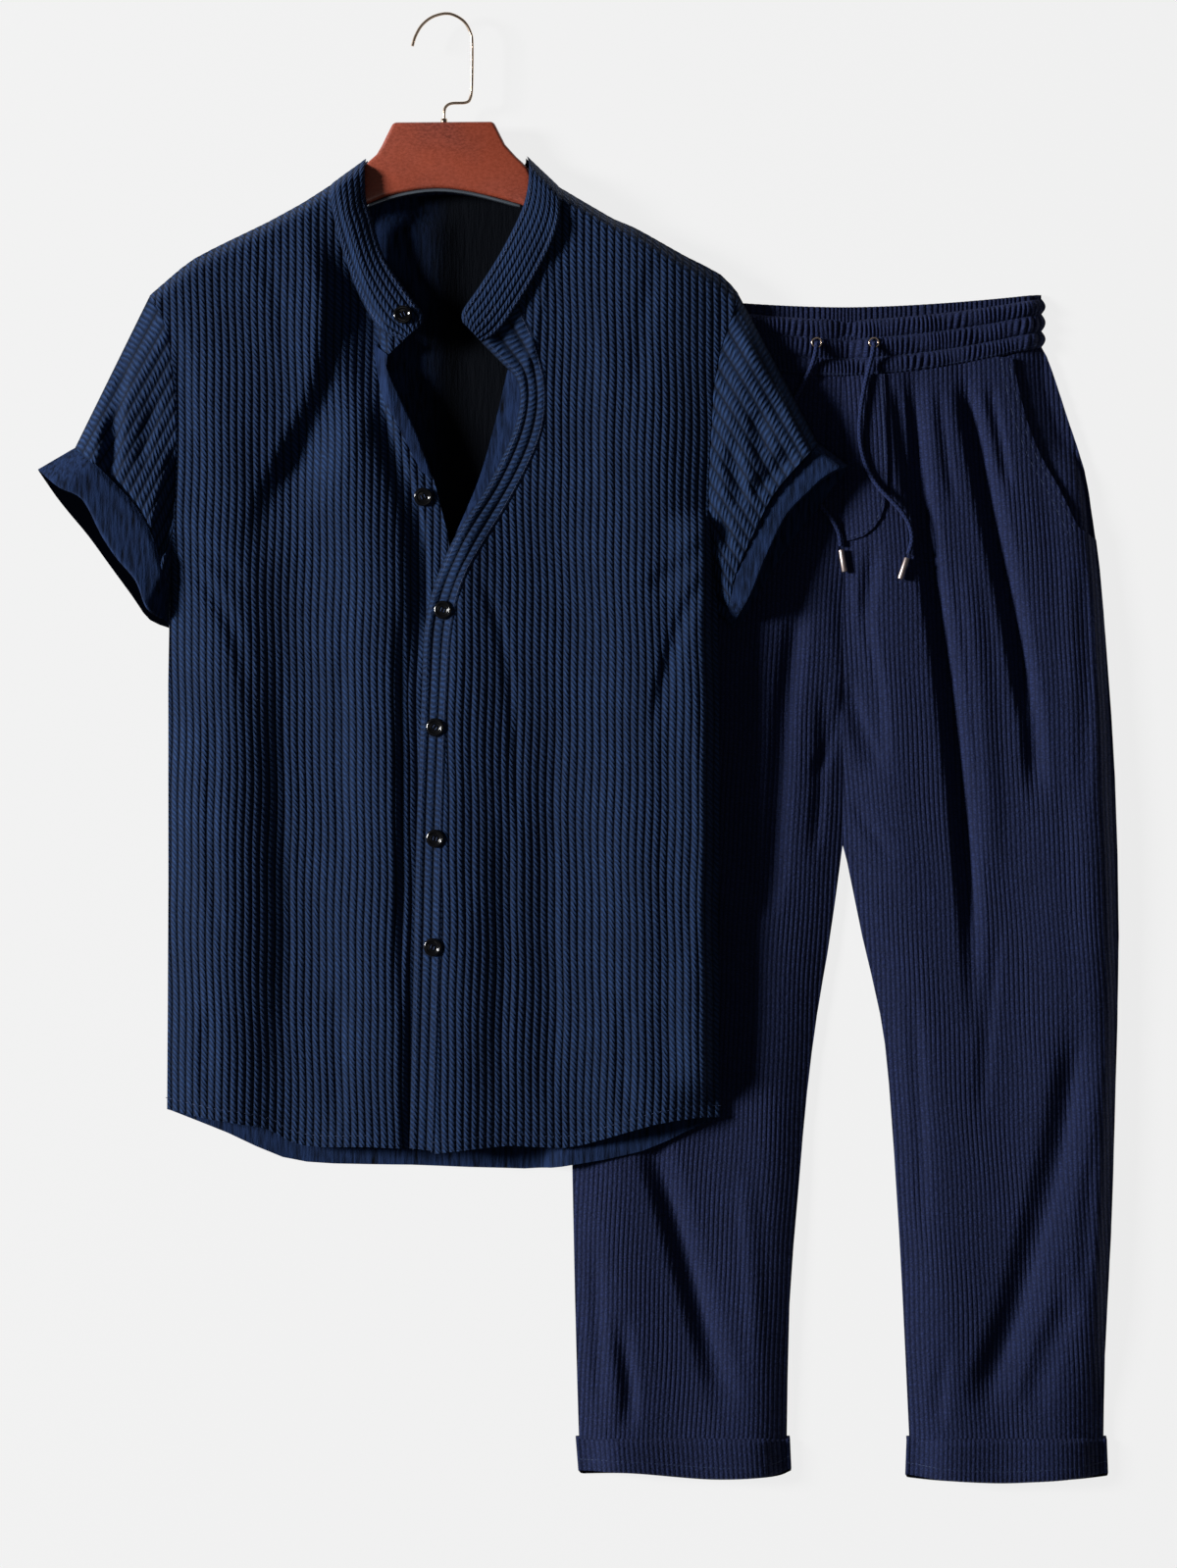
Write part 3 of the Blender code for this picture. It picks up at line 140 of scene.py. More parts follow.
# The waistband: rise of each line from the middle to the side, and its height at the middle.
bandHalf = 157.0
bandLines = (("seam", 291.5, 24.0), ("lower", 306.0, 22.0), ("upper", 321.5, 20.0), ("top", 336.5, 17.0))
bandBackTop = ("back", 346.5, 10.5)
bandPower = 1.7
bandHeight = 10.6          # outer side of the waistband's front at its stitch lines
bandRound = 14.0           # width over which it turns down at its two ends
gather = 1.2               # height of a gather
bandLow = cloth + gather + seam   # the front of the waistband clears the back's gathers
bandEnd = bandLow + 1.4    # outer side of the waistband's front at its two ends
flyWall = 1.1

# Ridges and hollows of the shirt, from the right side to the left side. x and height are given at
# each of these distances up the garment.
shirtStations = (450, 300, 200, 125, 0, -150, -310)
shirtRidges = (
    Ridge("right side", (-338, -318, -316, -321, -323, -323, -324), (17, 17, 15, 6, edge, edge, edge)),
    Ridge("right crest", (-290, -280, -275, -271, -271, -271, -271), (22, 23, 23, 23, 24, 24, 20)),
    Ridge("right hollow", (-240, -235, -228, -225, -225, -224, -228), (24, 23, 18, 14, 12, 11.5, 11)),
    Ridge("right chest", (-190, -186, -168, -155, -146, -143, -142), (28, 31, 31, 30, 30, 29, 25)),
    Ridge("right edge", (-150, -150, -118, -110, -124, -126, -130), (24, 22, 21, 21, 23, 23, 19)),
    Ridge("placket", (-60, -58, -78, -88, -92, -92, -94), (31, 29, 27, 27, 29, 29, 25)),
    Ridge("left hollow", (-20, -20, -22, -20, -16, -15, -14), (32, 30, 27, 25, 23, 21.5, 20)),
    Ridge("left crest", (50, 55, 58, 58, 58, 58, 58), (36, 36, 36, 36, 36, 36, 31)),
    Ridge("left side", (126, 109, 103, 107, 111, 111, 111), (27, 27, 25, 20, over + edge, over + edge,
                                                             over + edge)),
)
shirtFolds = rowsOf(Fold,
    ("left collar fold", 3.0, 9, ((-11, 412), (-22, 362), (-36, 282))),
    ("right armpit", 3.0, 12, ((-318, 168), (-290, 150), (-262, 130))),
    ("left armpit", 3.0, 12, ((104, 160), (80, 138), (55, 125))))

trouserStations = (292, 200, 75, -77, -300, -546)
rightLegRidges = (
    Ridge("outseam", (42, 16, 1, -8, -5, 1), (edge, edge, edge, edge, edge, edge)),
    Ridge("outer crest", (85, 60, 45, 38, 36, 38), (12.5, 13, 13, 13, 13, 15)),
    Ridge("hollow", (130, 115, 105, 100, 92, 85), (11.5, 11.5, 11.5, 11.5, 11.5, 12)),
    Ridge("inner crest", (180, 176, 172, 160, 145, 132), (9, 7.6, 12, 13, 13, 15)),
    Ridge("centre and inseam", (middle, middle, middle, middle, 178, 165),
          (10.3, 10.3, 9, edge, edge, edge)),
)
leftLegRidges = (
    Ridge("centre and inseam", (middle, middle, middle, middle, 248, 262),
          (10.3, 10.3, 9, edge, edge, edge)),
    Ridge("inner crest", (243, 246, 256, 262, 290, 300), (14, 16, 17, 16, 15, 15)),
    Ridge("hollow", (285, 300, 320, 335, 335, 335), (13, 15, 16, 16, 14, 13)),
    Ridge("outer crest", (335, 350, 372, 385, 380, 375), (14, 17, 19, 19, 18, 16)),
    Ridge("outseam", (376, 403, 418, 426, 424, 415), (edge, edge, edge, edge, edge, edge)),
)
trouserFolds = rowsOf(Fold,
    ("first pleat", 6.0, 13, ((264, 300), (269, 218), (281, 127), (293, 51), (306, -70), (313, -215))),
    ("second pleat", 6.0, 13, ((302, 300), (326, 188), (342, 112), (357, 20), (361, -40))),
    ("beside the fly", 3.5, 10, ((233, 160), (226, 97), (236, 36), (240, -20))),
    ("left shin", 5.0, 22, ((398, -225), (380, -318), (348, -442), (316, -525))),
    ("left ankle", 3.0, 16, ((390, -432), (370, -475), (358, -520))),
    ("right thigh", 4.0, 14, ((176, 120), (163, 21), (155, -100), (146, -135))),
    ("right shin", 4.5, 18, ((55, -300), (75, -367), (96, -440), (118, -525))),
    ("right ankle", 2.5, 12, ((34, -450), (40, -500), (38, -540))))

# The two ends of the drawstring, from the eyelet to the metal tip. The first points are lifted over
# the eyelet's rim and the waistband, and the others lie on the cloth.
cordRight = [Knot(*row) for row in (
    (188, 318, 16.5), (187.5, 313.8, 18.4), (186.5, 308, 18.4), (184.5, 301, 17.4), (181, 293, 15.4),
    (176, 283, 13.2), (170, 272, 12.3), (165, 260, 12.0), (163, 246, 11.9), (165, 230, 11.8),
    (170, 215, 11.8), (177, 204, 11.8), (186, 195, 12.1), (194, 186.5, 12.2), (201, 177.5, 12.9),
    (205.5, 168, 13.6), (207, 158, 13.6))]
cordLeft = [Knot(*row) for row in (
    (233, 318, 16.4), (232.5, 313.5, 18.4), (231.5, 308, 18.6), (229.5, 300, 18.4), (227, 290, 18.6),
    (224.5, 278, 18.9), (222.5, 265, 18.9), (221.5, 252, 18.8), (222, 239, 18.7), (224.5, 227, 18.8),
    (229, 215, 19.6), (236, 204, 20.8), (245, 194.5, 21.2), (254, 185, 20.4), (260.5, 174, 19.6),
    (262.5, 162, 19.5), (259.5, 151, 19.8))]
tips = {"right": (Knot(207.3, 155, 13.8), Knot(210, 137.5, 13.8)),
        "left": (Knot(258.6, 148.2, 20.0), Knot(253, 131.5, 20.6))}
tip = 4.6                  # the metal tip's diameter
eyelets = {"right": Point(188, 318), "left": Point(233, 318)}
eyeletOuter = 8.8
eyeletWire = 1.5

buttons = (
    Button(-137, 338, 0.3, "collar"), Button(-121, 196, 0.8, "right"), Button(-105, 107, 0.5, "lap"),
    Button(-111, 15, 0.2, "lap"), Button(-111, -72, 0.6, "lap"), Button(-113, -157, 0.4, "lap"),
)
lean = 0.045               # how far a leg's ribs lean outwards
collarRise = 4.5           # how far the band collar stands above the front
sleeveHeight = 21.0
sleeveRibs = 17
sleeveFolds = {
    "right": (Fold("sleeve crease", 5.0, 13, points((-366, 262), (-368, 214))),
              Fold("underarm crease", 3.5, 10, points((-324, 190), (-327, 150)))),
    "left": (Fold("sleeve crease", 4.0, 12, points((140, 262), (146, 214))),
             Fold("underarm crease", 3.0, 9, points((112, 180), (116, 148)))),
}
cuffProud = 1.6
cuffFlare = 2.5
turnupProud = 1.8
turnupRibs = 44
facingTuck = 9.0           # how far the pocket's facing reaches under the mouth
eyeletHeight = 14.4
buttonAcross = 14.6
buttonThick = 3.0

# The hanger, flat in its own plane, then tipped so that it lies on the back at both ends.
hangerTop = points((-302, 362), (-292, 377), (-250, 398), (-205, 422), (-178, 439), (-169, 456),
    (-158, 466), (-151, 479), (-145, 491), (-66, 491), (-57, 473), (-48, 463), (-39, 454), (-30, 437),
    (0, 418), (45, 394), (78, 376), (88, 364))
hangerLow = points((82, 356), (45, 374), (0, 398), (-30, 417), (-45, 426), (-83, 436), (-112, 439),
    (-141, 435), (-165, 427), (-205, 402), (-250, 378), (-296, 355))
hangerThick = 10.0
hangerSeat = 2.2           # underside of the hanger at its right end
hangerRise = 0.0412        # how much it climbs for each millimetre to the left side
hangerStart = -300.0
stripWide = 2.4
hookWire = 2.4
hook = points((-105, 491.4), (-105, 499), (-103.5, 503.5), (-99, 506), (-88, 506.6), (-84.5, 510),
    (-83.3, 520), (-83, 552), (-84.5, 562), (-90, 571), (-101, 576.5), (-113, 574.5), (-122, 568),
    (-127.5, 559), (-130, 551))

# Creases, given one by one: depth, then how wide each falls away at its left and right as seen from above.
# A negative depth is a ridge.
shirtCreases = rowsOf(Crease,
    ("under the right collar", 12.0, 34, 8, 0.42, ((-209, 479), (-192, 425), (-173, 362), (-158, 326),
        (-156, 278), (-147, 232), (-136, 171))),
    ("right chest hollow", 13.0, 20, 40, 0.3, ((-199, 421), (-186, 363), (-187, 317), (-195, 278),
        (-213, 240), (-235, 201), (-252, 155))),
    ("beside the turned facing", 4.5, 20, 7, 0.3, ((-155, 278), (-139, 224), (-124, 171), (-121, 109),
        (-132, 32))),
    ("right shoulder", 1.6, 12, 12, 0.3, ((-250, 398), (-234, 348), (-229, 301))),
    ("right chest drape", 1.5, 22, 14, 0.3, ((-252, 263), (-249, 201), (-247, 124))),
    ("right armhole", 2.4, 10, 14, 0.3, ((-321, 332), (-312, 294), (-309, 232))),
    ("from the right armpit", 3.0, 9, 12, 0.35, ((-318, 155), (-290, 124), (-269, 86), (-256, 24))),
    ("right waist", 1.8, 10, 8, 0.3, ((-283, 47), (-288, -68), (-280, -168))),
    ("valley edge", 2.0, 18, 8, 0.3, ((-232, 94), (-233, -30), (-229, -145), (-232, -276))),
    ("chest line", 1.6, 10, 10, 0.3, ((-182, 124), (-187, 1), (-184, -107))),
    ("right hem", 2.2, 14, 10, 0.3, ((-190, -184), (-187, -245), (-189, -307))),
    ("right hem two", 2.0, 9, 14, 0.35, ((-289, -199), (-293, -245), (-290, -291))),
    ("beside the placket", 3.0, 8, 6, 0.25, ((-139, 124), (-138, 1), (-138, -107), (-141, -222))),
    ("left collar fold eased", -4.4, 10, 10, 0.2, ((-12, 421), (-18, 385), (-28, 332), (-39, 285))),
    ("left collar wedge", 1.0, 3, 7, 0.25, ((-12, 422), (-16, 394), (-25, 348), (-39, 285))),
    ("left shoulder", 1.8, 12, 14, 0.3, ((64, 394), (51, 332), (47, 263))),
    ("left chest", -1.6, 12, 14, 0.3, ((20, 355), (22, 271), (20, 171))),
    ("from the left armpit", 3.2, 8, 12, 0.35, ((107, 140), (85, 109), (67, 55), (56, 1))),
    ("left body", 1.8, 10, 8, 0.3, ((85, 32), (89, -76), (84, -184))),
    ("left side roll", -14.0, 34, 11, 0.08, ((98, 186), (99, 94), (99, -107), (98, -284))),
    ("left hollow edge", 2.4, 26, 10, 0.3, ((-13, 47), (-21, -76), (-18, -214), (-22, -299))),
    ("left hollow low", 2.0, 20, 10, 0.3, ((-53, -45), (-56, -153), (-62, -291))),
    ("left hem", 2.2, 12, 12, 0.35, ((39, -191), (36, -253), (41, -299))),
    ("placket drape", 1.2, 10, 8, 0.3, ((-85, 94), (-84, -30), (-87, -168))),
    ("left of the lap", 1.8, 9, 7, 0.3, ((-82, 147), (-61, 94), (-50, 17), (-47, -76))))
trouserCreases = rowsOf(Crease,
    ("short pleat", 3.4, 10, 6, 0.3, ((323, 291), (333, 240), (340, 201))),
    ("pleat beside the fly", 3.6, 9, 6, 0.3, ((251, 289), (256, 232), (263, 182))),
    ("right waist gather", 1.8, 8, 6, 0.3, ((195, 285), (193, 232), (189, 171))),
    ("left waist gather", 2.0, 8, 6, 0.3, ((284, 286), (290, 232), (298, 186))),
    ("left outer thigh", 2.2, 14, 8, 0.3, ((395, 155), (400, 55), (397, -60))),
    ("left thigh ridge", -2.2, 10, 16, 0.3, ((301, 161), (318, 32), (327, -122))),
    ("left knee", 2.0, 12, 8, 0.35, ((332, -130), (323, -222), (318, -299))),
    ("left inner shin", 1.8, 10, 8, 0.35, ((263, -184), (269, -276), (273, -399))),
    ("left hem pull", 2.0, 12, 8, 0.35, ((292, -469), (286, -507), (284, -538))),
    ("left outer shin", 2.0, 12, 8, 0.35, ((404, -299), (400, -384), (397, -430))),
    ("right inner thigh", 2.2, 10, 8, 0.3, ((195, 55), (192, -22), (186, -91))),
    ("right thigh fall", 3.0, 22, 8, 0.3, ((176, 132), (167, 63), (161, 1), (155, -76), (147, -130))),
    ("right shin ridge", -2.0, 10, 14, 0.35, ((130, -330), (135, -399), (141, -499))),
    ("right outer hem", 2.0, 9, 9, 0.35, ((13, -376), (16, -461), (17, -530))),
    ("right shin pull", 3.0, 16, 9, 0.3, ((56, -313), (78, -376), (95, -438), (115, -507))),
    ("right ankle pull", 2.4, 12, 8, 0.35, ((35, -461), (41, -499), (45, -539))),
    ("crotch pull", 3.6, 16, 8, 0.3, ((212, 55), (224, 17), (238, -22))),
    ("crotch shade", 3.2, 20, 9, 0.35, ((209, 155), (216, 94), (227, 32), (233, -30))),
    ("crotch pull low", 2.0, 9, 9, 0.35, ((215, -39), (232, -68), (250, -90))),
    ("right crotch pull", 2.0, 9, 9, 0.35, ((206, 40), (198, 1), (181, -30))),
    ("left leg side roll", -7.0, 32, 13, 0.12, ((386, 248), (400, 155), (409, 1), (415, -184),
        (410, -338), (403, -538))),
    ("first pleat edge", 6.5, 17, 6, 0.2, ((263, 291), (269, 224), (280, 140), (292, 55), (301, -22),
        (307, -84), (312, -153))),
    ("second pleat edge", 6.5, 17, 6, 0.2, ((303, 289), (314, 248), (326, 186), (342, 112), (351, 67),
        (357, 20))),
    ("left shin fall", 3.0, 26, 9, 0.25, ((401, -207), (390, -253), (380, -318), (364, -383), (348, -442),
        (332, -486), (316, -529))))
sleeveCreases = rowsOf(Crease,
    ("outer fold", 6.5, 14, 9, 0.25, ((-355, 317), (-362, 278), (-365, 248), (-369, 209))),
    ("underarm fold", 6.5, 14, 7, 0.25, ((-310, 240), (-316, 209), (-323, 178), (-330, 147))),
    ("fold over the turnup", 3.6, 11, 7, 0.25, ((-373, 220), (-358, 201), (-344, 180), (-336, 158))),
    ("middle fold", 2.6, 10, 9, 0.3, ((-330, 278), (-338, 248), (-344, 217))),
    ("left underarm fold", 5.5, 13, 8, 0.3, ((118, 240), (126, 209), (129, 186))),
    ("left fold over the turnup", 6.0, 13, 9, 0.3, ((172, 231), (152, 212), (135, 194))),
    ("left sleeve fall", 2.4, 14, 9, 0.3, ((139, 332), (152, 286), (162, 248))))


def place(x, y, z):
    x, y, z = np.broadcast_arrays(x, y, z)
    return np.stack([(x - centre[0]) * mm, (y - centre[1]) * mm, z * mm], axis=-1)


def toLinear(hexColour):
    values = [int(hexColour[i:i + 2], 16) / 255 for i in (1, 3, 5)]
    return (*(v / 12.92 if v <= 0.04045 else ((v + 0.055) / 1.055) ** 2.4 for v in values), 1)


def ease(t):
    t = np.clip(t, 0.0, 1.0)
    return t * t * (3 - 2 * t)


def spline(knots, steps=2):
    ends = [knots[0]] + list(knots) + [knots[-1]]
    out = []
    for i in range(1, len(ends) - 2):
        a, b, c, d = (np.array(p, float) for p in ends[i - 1:i + 3])
        for k in range(steps):
            t = k / steps
            out.append(0.5 * (2 * b + (c - a) * t + (2 * a - 5 * b + 4 * c - d) * t ** 2
                              + (3 * b - a - 3 * c + d) * t ** 3))
    out.append(np.array(knots[-1], float))
    return [tuple(p) for p in out]


def lengths(path):
    return np.concatenate([[0], np.cumsum(np.linalg.norm(np.diff(path, axis=0), axis=1))])


def evenly(knots, count):
    path = np.array(spline(knots, 8))
    run = lengths(path)
    want = np.linspace(0, run[-1], count)
    return np.stack([np.interp(want, run, path[:, i]) for i in range(path.shape[1])], axis=-1)


def along(stations, values, y):
    out = np.full(np.shape(y), float(values[0]))
    for i in range(len(stations) - 1):
        t = np.clip((stations[i] - y) / (stations[i] - stations[i + 1]), 0, 1)
        here = values[i] + (values[i + 1] - values[i]) * (0.5 * t + 0.5 * ease(t))
        out = np.where(y < stations[i], here, out)
    return out


def profile(ridges, stations, x, y):
    xs = [along(stations, ridge.x, y) for ridge in ridges]
    hs = [along(stations, ridge.height, y) for ridge in ridges]
    out = hs[0] + 0 * x
    last = len(xs) - 2
    for i in range(last + 1):
        t = np.clip((x - xs[i]) / (xs[i + 1] - xs[i]), 0, 1)
        if i == 0:
            part = hs[0] + (hs[1] - hs[0]) * np.sin(pi / 2 * t)
        elif i == last:
            part = hs[-1] + (hs[-2] - hs[-1]) * np.cos(pi / 2 * t)
        else:
            part = hs[i] + (hs[i + 1] - hs[i]) * (1 - np.cos(pi * t)) / 2
        out = np.where(x > xs[i], part, out)
    return out


# How far each point lies from a path, where along it (0 to 1), and on which side (above 0 is its left).
def offPath(path, x, y):
    best = np.full(np.shape(x), 1e9)
    where, side = np.zeros(np.shape(x)), np.zeros(np.shape(x))
    for i, (a, b) in enumerate(zip(path, path[1:])):
        run = (b[0] - a[0], b[1] - a[1])
        t = np.clip(((x - a[0]) * run[0] + (y - a[1]) * run[1]) / (run[0] ** 2 + run[1] ** 2), 0, 1)
        gap = np.hypot(x - a[0] - run[0] * t, y - a[1] - run[1] * t)
        nearer = gap < best
        where = np.where(nearer, (i + t) / (len(path) - 1), where)
        side = np.where(nearer, run[0] * (y - a[1]) - run[1] * (x - a[0]), side)
        best = np.minimum(gap, best)
    return best, where, side


def hollow(gap, half):
    return (1 + np.cos(pi * np.minimum(gap / half, 1))) / 2


def foldDepth(folds, x, y):
    depth = np.zeros(np.shape(x))
    for fold in folds:
        gap, t, _ = offPath(fold.path, x, y)
        fade = ease(np.minimum(t, 1 - t) / 0.2 + 0.25)
        depth = np.maximum(depth, fold.depth * fade * hollow(gap, fold.half))
    return depth


# A crease sinks the cloth along its path: it is as wide as left and right say, seen from above.
def creases(rows, x, y):
    total = np.zeros(np.shape(x))
    for row in rows:
        gap, where, side = offPath(spline(row.path, 3), x, y)
        fade = ease(np.minimum(where, 1 - where) / row.fade)
        total = total + row.depth * fade * hollow(gap, np.where(side > 0, row.right, row.left))
    return total


def outseamAt(y):
    return np.interp(-y, [-p.y for p in outseamRight], [p.x for p in outseamRight])


def shirtFloor(x, y):
    return over * ease((x - outseamAt(y) + ramp + 4) / ramp)


def thick(surface, x, y, wall=cloth):
    slopeX = surface(x + 0.5, y) - surface(x - 0.5, y)
    slopeY = surface(x, y + 0.5) - surface(x, y - 0.5)
    return wall * np.minimum(steepest, np.sqrt(1 + slopeX ** 2 + slopeY ** 2))


def backTop(x, y):
    return shirtFloor(x, y) + thick(shirtFloor, x, y)


def shoulderLine(x):
    line = shoulderRight[::-1] + [Point(-166, 466), Point(-41, 468)] + shoulderLeft
    return np.interp(x, [p.x for p in line], [p.y for p in line])


def shirtFront(x, y):
    low = backTop(x, y) + seam + cloth
    height = profile(shirtRidges, shirtStations, x, y) - foldDepth(shirtFolds, x, y)
    height = height - creases(shirtCreases, x, y)
    gap = np.clip((shoulderLine(x) - y) * shoulderSlant / shoulderRoll, 0, 1)
    height = low + (height - low) * np.sin(pi / 2 * gap)
    return np.maximum(height, low)


def leftFront(x, y):
    return shirtFront(x, y) + lap * (1 - ease((x - lapEnd) / lapFade))


def trousersFront(x, y):
    right = profile(rightLegRidges, trouserStations, np.minimum(x, middle), y)
    left = profile(leftLegRidges, trouserStations, np.maximum(x, middle), y)
    height = np.where(x < middle, right, left) - foldDepth(trouserFolds, x, y)
    return np.maximum(height - creases(trouserCreases, x, y), edge)


def added(name, data):
    obj = bpy.data.objects.new(name, data)
    bpy.context.scene.collection.objects.link(obj)
    return obj


def setUv(mesh, uv):
    layer = mesh.uv_layers.get("cloth") or mesh.uv_layers.new(name="cloth")
    corners = np.empty(len(mesh.loops), dtype=np.int32)
    mesh.loops.foreach_get("vertex_index", corners)
    layer.uv.foreach_set("vector", uv[corners].astype(np.float32).ravel())


def makeMesh(name, verts, faces, uv=None, slots=None, materials=(None, None)):
    mesh = bpy.data.meshes.new(name)
    mesh.from_pydata(verts.tolist(), [], faces.tolist() if hasattr(faces, "tolist") else faces)
    for material in materials:
        mesh.materials.append(material)
    if uv is not None:
        setUv(mesh, uv)
    if slots is not None:
        mesh.polygons.foreach_set("material_index", np.array(slots, dtype=np.int32))
    mesh.update()
    return added(name, mesh)


def faceOut(obj):
    bm = bmesh.new()
    bm.from_mesh(obj.data)
    bmesh.ops.recalc_face_normals(bm, faces=bm.faces)
    bm.to_mesh(obj.data)
    bm.free()


def smooth(obj, angle=50):
    obj.data.shade_smooth()
    obj.data.set_sharp_from_angle(angle=math.radians(angle))
    return obj


def wall(name, x, y, top, low, uv, closed=False):
    rows, cols = x.shape
    n = rows * cols
    lowX, lowY = x, y
    if isinstance(low, tuple):
        lowX, lowY, low = low
    verts = np.concatenate([place(x, y, top).reshape(-1, 3), place(lowX, lowY, low).reshape(-1, 3)])
    index = np.arange(n).reshape(rows, cols)
    nxt = np.roll(index, -1, axis=1) if closed else index[:, 1:]
    cur = index if closed else index[:, :-1]
    upper = np.stack([cur[:-1], cur[1:], nxt[1:], nxt[:-1]], axis=-1).reshape(-1, 4)
    lower = upper[:, ::-1] + n
    ends = [np.stack([cur[0], nxt[0], nxt[0] + n, cur[0] + n], axis=-1),
            np.stack([nxt[-1], cur[-1], cur[-1] + n, nxt[-1] + n], axis=-1)]
    if not closed:
        a, b = index[:, 0], index[:, -1]
        ends.append(np.stack([a[1:], a[:-1], a[:-1] + n, a[1:] + n], axis=-1))
        ends.append(np.stack([b[:-1], b[1:], b[1:] + n, b[:-1] + n], axis=-1))
    rim = np.concatenate(ends)
    faces = np.concatenate([upper, lower, rim])
    slots = [0] * len(upper) + [1] * len(lower) + [1] * len(rim)
    uv = np.concatenate([uv.reshape(-1, 2)] * 2)
    obj = makeMesh(name, verts, faces, uv, slots)
    if closed:
        faceOut(obj)
    return obj


def inset(outline, gap):
    clean = [p for p, q in zip(outline, outline[1:] + outline[:1]) if math.dist(p, q) > 0.4]
    ahead = clean[1:] + clean[:1]
    side = 1 if sum(p[0] * q[1] - q[0] * p[1] for p, q in zip(clean, ahead)) > 0 else -1
    moved = []
    for before, here, after in zip(clean[-1:] + clean[:-1], clean, ahead):
        run = Vector((after[0] - before[0], after[1] - before[1])).normalized()
        moved.append((here[0] - run.y * side * gap, here[1] + run.x * side * gap))
    return moved


def settle(obj):
    bpy.context.view_layer.update()
    made = bpy.data.meshes.new_from_object(obj.evaluated_get(bpy.context.evaluated_depsgraph_get()))
    obj.modifiers.clear()
    obj.data = made
    return obj


cutBelow, cutAbove = -20.0, 90.0   # heights between which an outline cuts a piece
seamGrow = 0.1             # pieces are cut this much wider, so that they meet at their seams


def cutTo(obj, outline, uvOf):
    ring = inset(outline, -seamGrow)
    n = len(ring)
    xs = np.array([p[0] for p in ring] * 2)
    ys = np.array([p[1] for p in ring] * 2)
    verts = place(xs, ys, np.array([cutBelow] * n + [cutAbove] * n))
    sides = [(k, (k + 1) % n, (k + 1) % n + n, k + n) for k in range(n)]
    block = makeMesh(obj.name + "Outline", verts, [tuple(range(n))[::-1], tuple(range(n, 2 * n))] + sides)
    faceOut(block)
    cut = obj.modifiers.new("outline", "BOOLEAN")
    cut.operation = "INTERSECT"
    cut.solver = "MANIFOLD"
    cut.object = block
    settle(obj)
    bpy.data.objects.remove(block)
    co = np.empty(len(obj.data.vertices) * 3, dtype=np.float32)
    obj.data.vertices.foreach_get("co", co)
    co = co.reshape(-1, 3) / mm
    setUv(obj.data, uvOf(co[:, 0] + centre[0], co[:, 1] + centre[1]))
    return obj


ribSunk = 0.25             # share of a rib's height that lies below the surface it stands on
beyond = 12                # how far cloth is laid past its outline before it is cut
steepest = 1.7             # how much thicker cloth is measured upwards on its steepest slopes


# The height of a rib over its plain surface, as a share: phase counts the ribs.
def ribHeight(phase):
    return np.sqrt(np.abs(np.sin(pi * phase))) - ribSunk


def wobble(x, y):
    return 0.8 * np.sin(y / 41 + x / 60) + 0.45 * np.sin(y / 17 + x / 23 + 1.7)


def ribbed(name, outline, surface, rowsAt, lean, look):
    pitch = look["pitch"]
    lowX = min(p[0] for p in outline) - beyond
    highX = max(p[0] for p in outline) + beyond
    rows = rowsAt(np.array([0.0]))
    mid = (rows[0, 0] + rows[-1, 0]) / 2
    reach = abs(lean) * (rows[0, 0] - rows[-1, 0]) / 2
    ribs = math.ceil((highX - lowX + 2 * reach) / pitch)
    across = look["samples"] * ribs + 1
    flat = lowX - reach + pitch * np.arange(across) / look["samples"]
    y = rowsAt(flat)
    x = flat[None, :] + lean * (mid - y)
    x = x + wobble(x, y) * look["wobble"]
    phase = np.arange(across)[None, :] / look["samples"] + 0 * y
    under = surface(x, y)
    ribSize = look["rib"] * (1 + 0.12 * np.sin(y / 29 + x / 13))
    top = under + ribSize * ribHeight(phase)
    low = under - look["shell"]

    def uvOf(px, py):
        u = (px - wobble(px, py) * look["wobble"] - lean * (mid - py) - (lowX - reach)) / pitch
        return np.stack([u, py], axis=-1)

    uv = np.stack([phase, y], axis=-1)
    return cutTo(wall(name, x, y, top, low, uv), outline, uvOf)


def edgeRound(t, width, size=1.6, drop=0.9):
    gap = np.clip((1 - t) * width / size, 0, 1)
    return drop * (1 - np.sqrt(np.clip(1 - (1 - gap) ** 2, 0, 1)))


def strip(name, edgeA, edgeB, height, look, ribs=0, step=4.0):
    count = max(8, int(sum(math.dist(a, b) for a, b in zip(edgeB, edgeB[1:])) / step))
    a, b = evenly(edgeA, count), evenly(edgeB, count)
    across = look["samples"] * ribs + 1 if ribs else 13
    t = np.linspace(0, 1, across)[None, :]
    x = a[:, :1] + (b[:, :1] - a[:, :1]) * t
    y = a[:, 1:2] + (b[:, 1:2] - a[:, 1:2]) * t
    width = np.hypot(*(b - a).T)[:, None]
    run = lengths(b)[:, None] + 0 * t
    phase = t * ribs if ribs else t * width / look["pitch"]
    top = height(x, y, t) - edgeRound(t, width)
    low = top - look["shell"]
    if ribs:
        top = top + look["rib"] * ribHeight(phase) * np.clip((1 - t) * width / 1.5, 0, 1)
    uv = np.stack([phase + 0 * x, run + 0 * x], axis=-1)
    obj = wall(name, x, y, top, low, uv)
    faceOut(obj)
    return obj


seamTuck = 1.6             # how far a tube or a back neckline reaches under its neighbour
plainAcross = 60           # points across a tube that has no ribs
tubeGap = 0.4              # the least space between a tube's two walls


# How far the free edge of a turn-up is rounded down, from the share where that starts.
def lipDrop(v, starts, drop):
    return drop * np.clip((v - starts) / (1 - starts), 0, 1) ** 2


def sideRound(u, first=0.2, last=0.14):
    return np.sin(pi / 2 * np.minimum(1, u / first)) * np.sin(pi / 2 * np.minimum(1, (1 - u) / last))


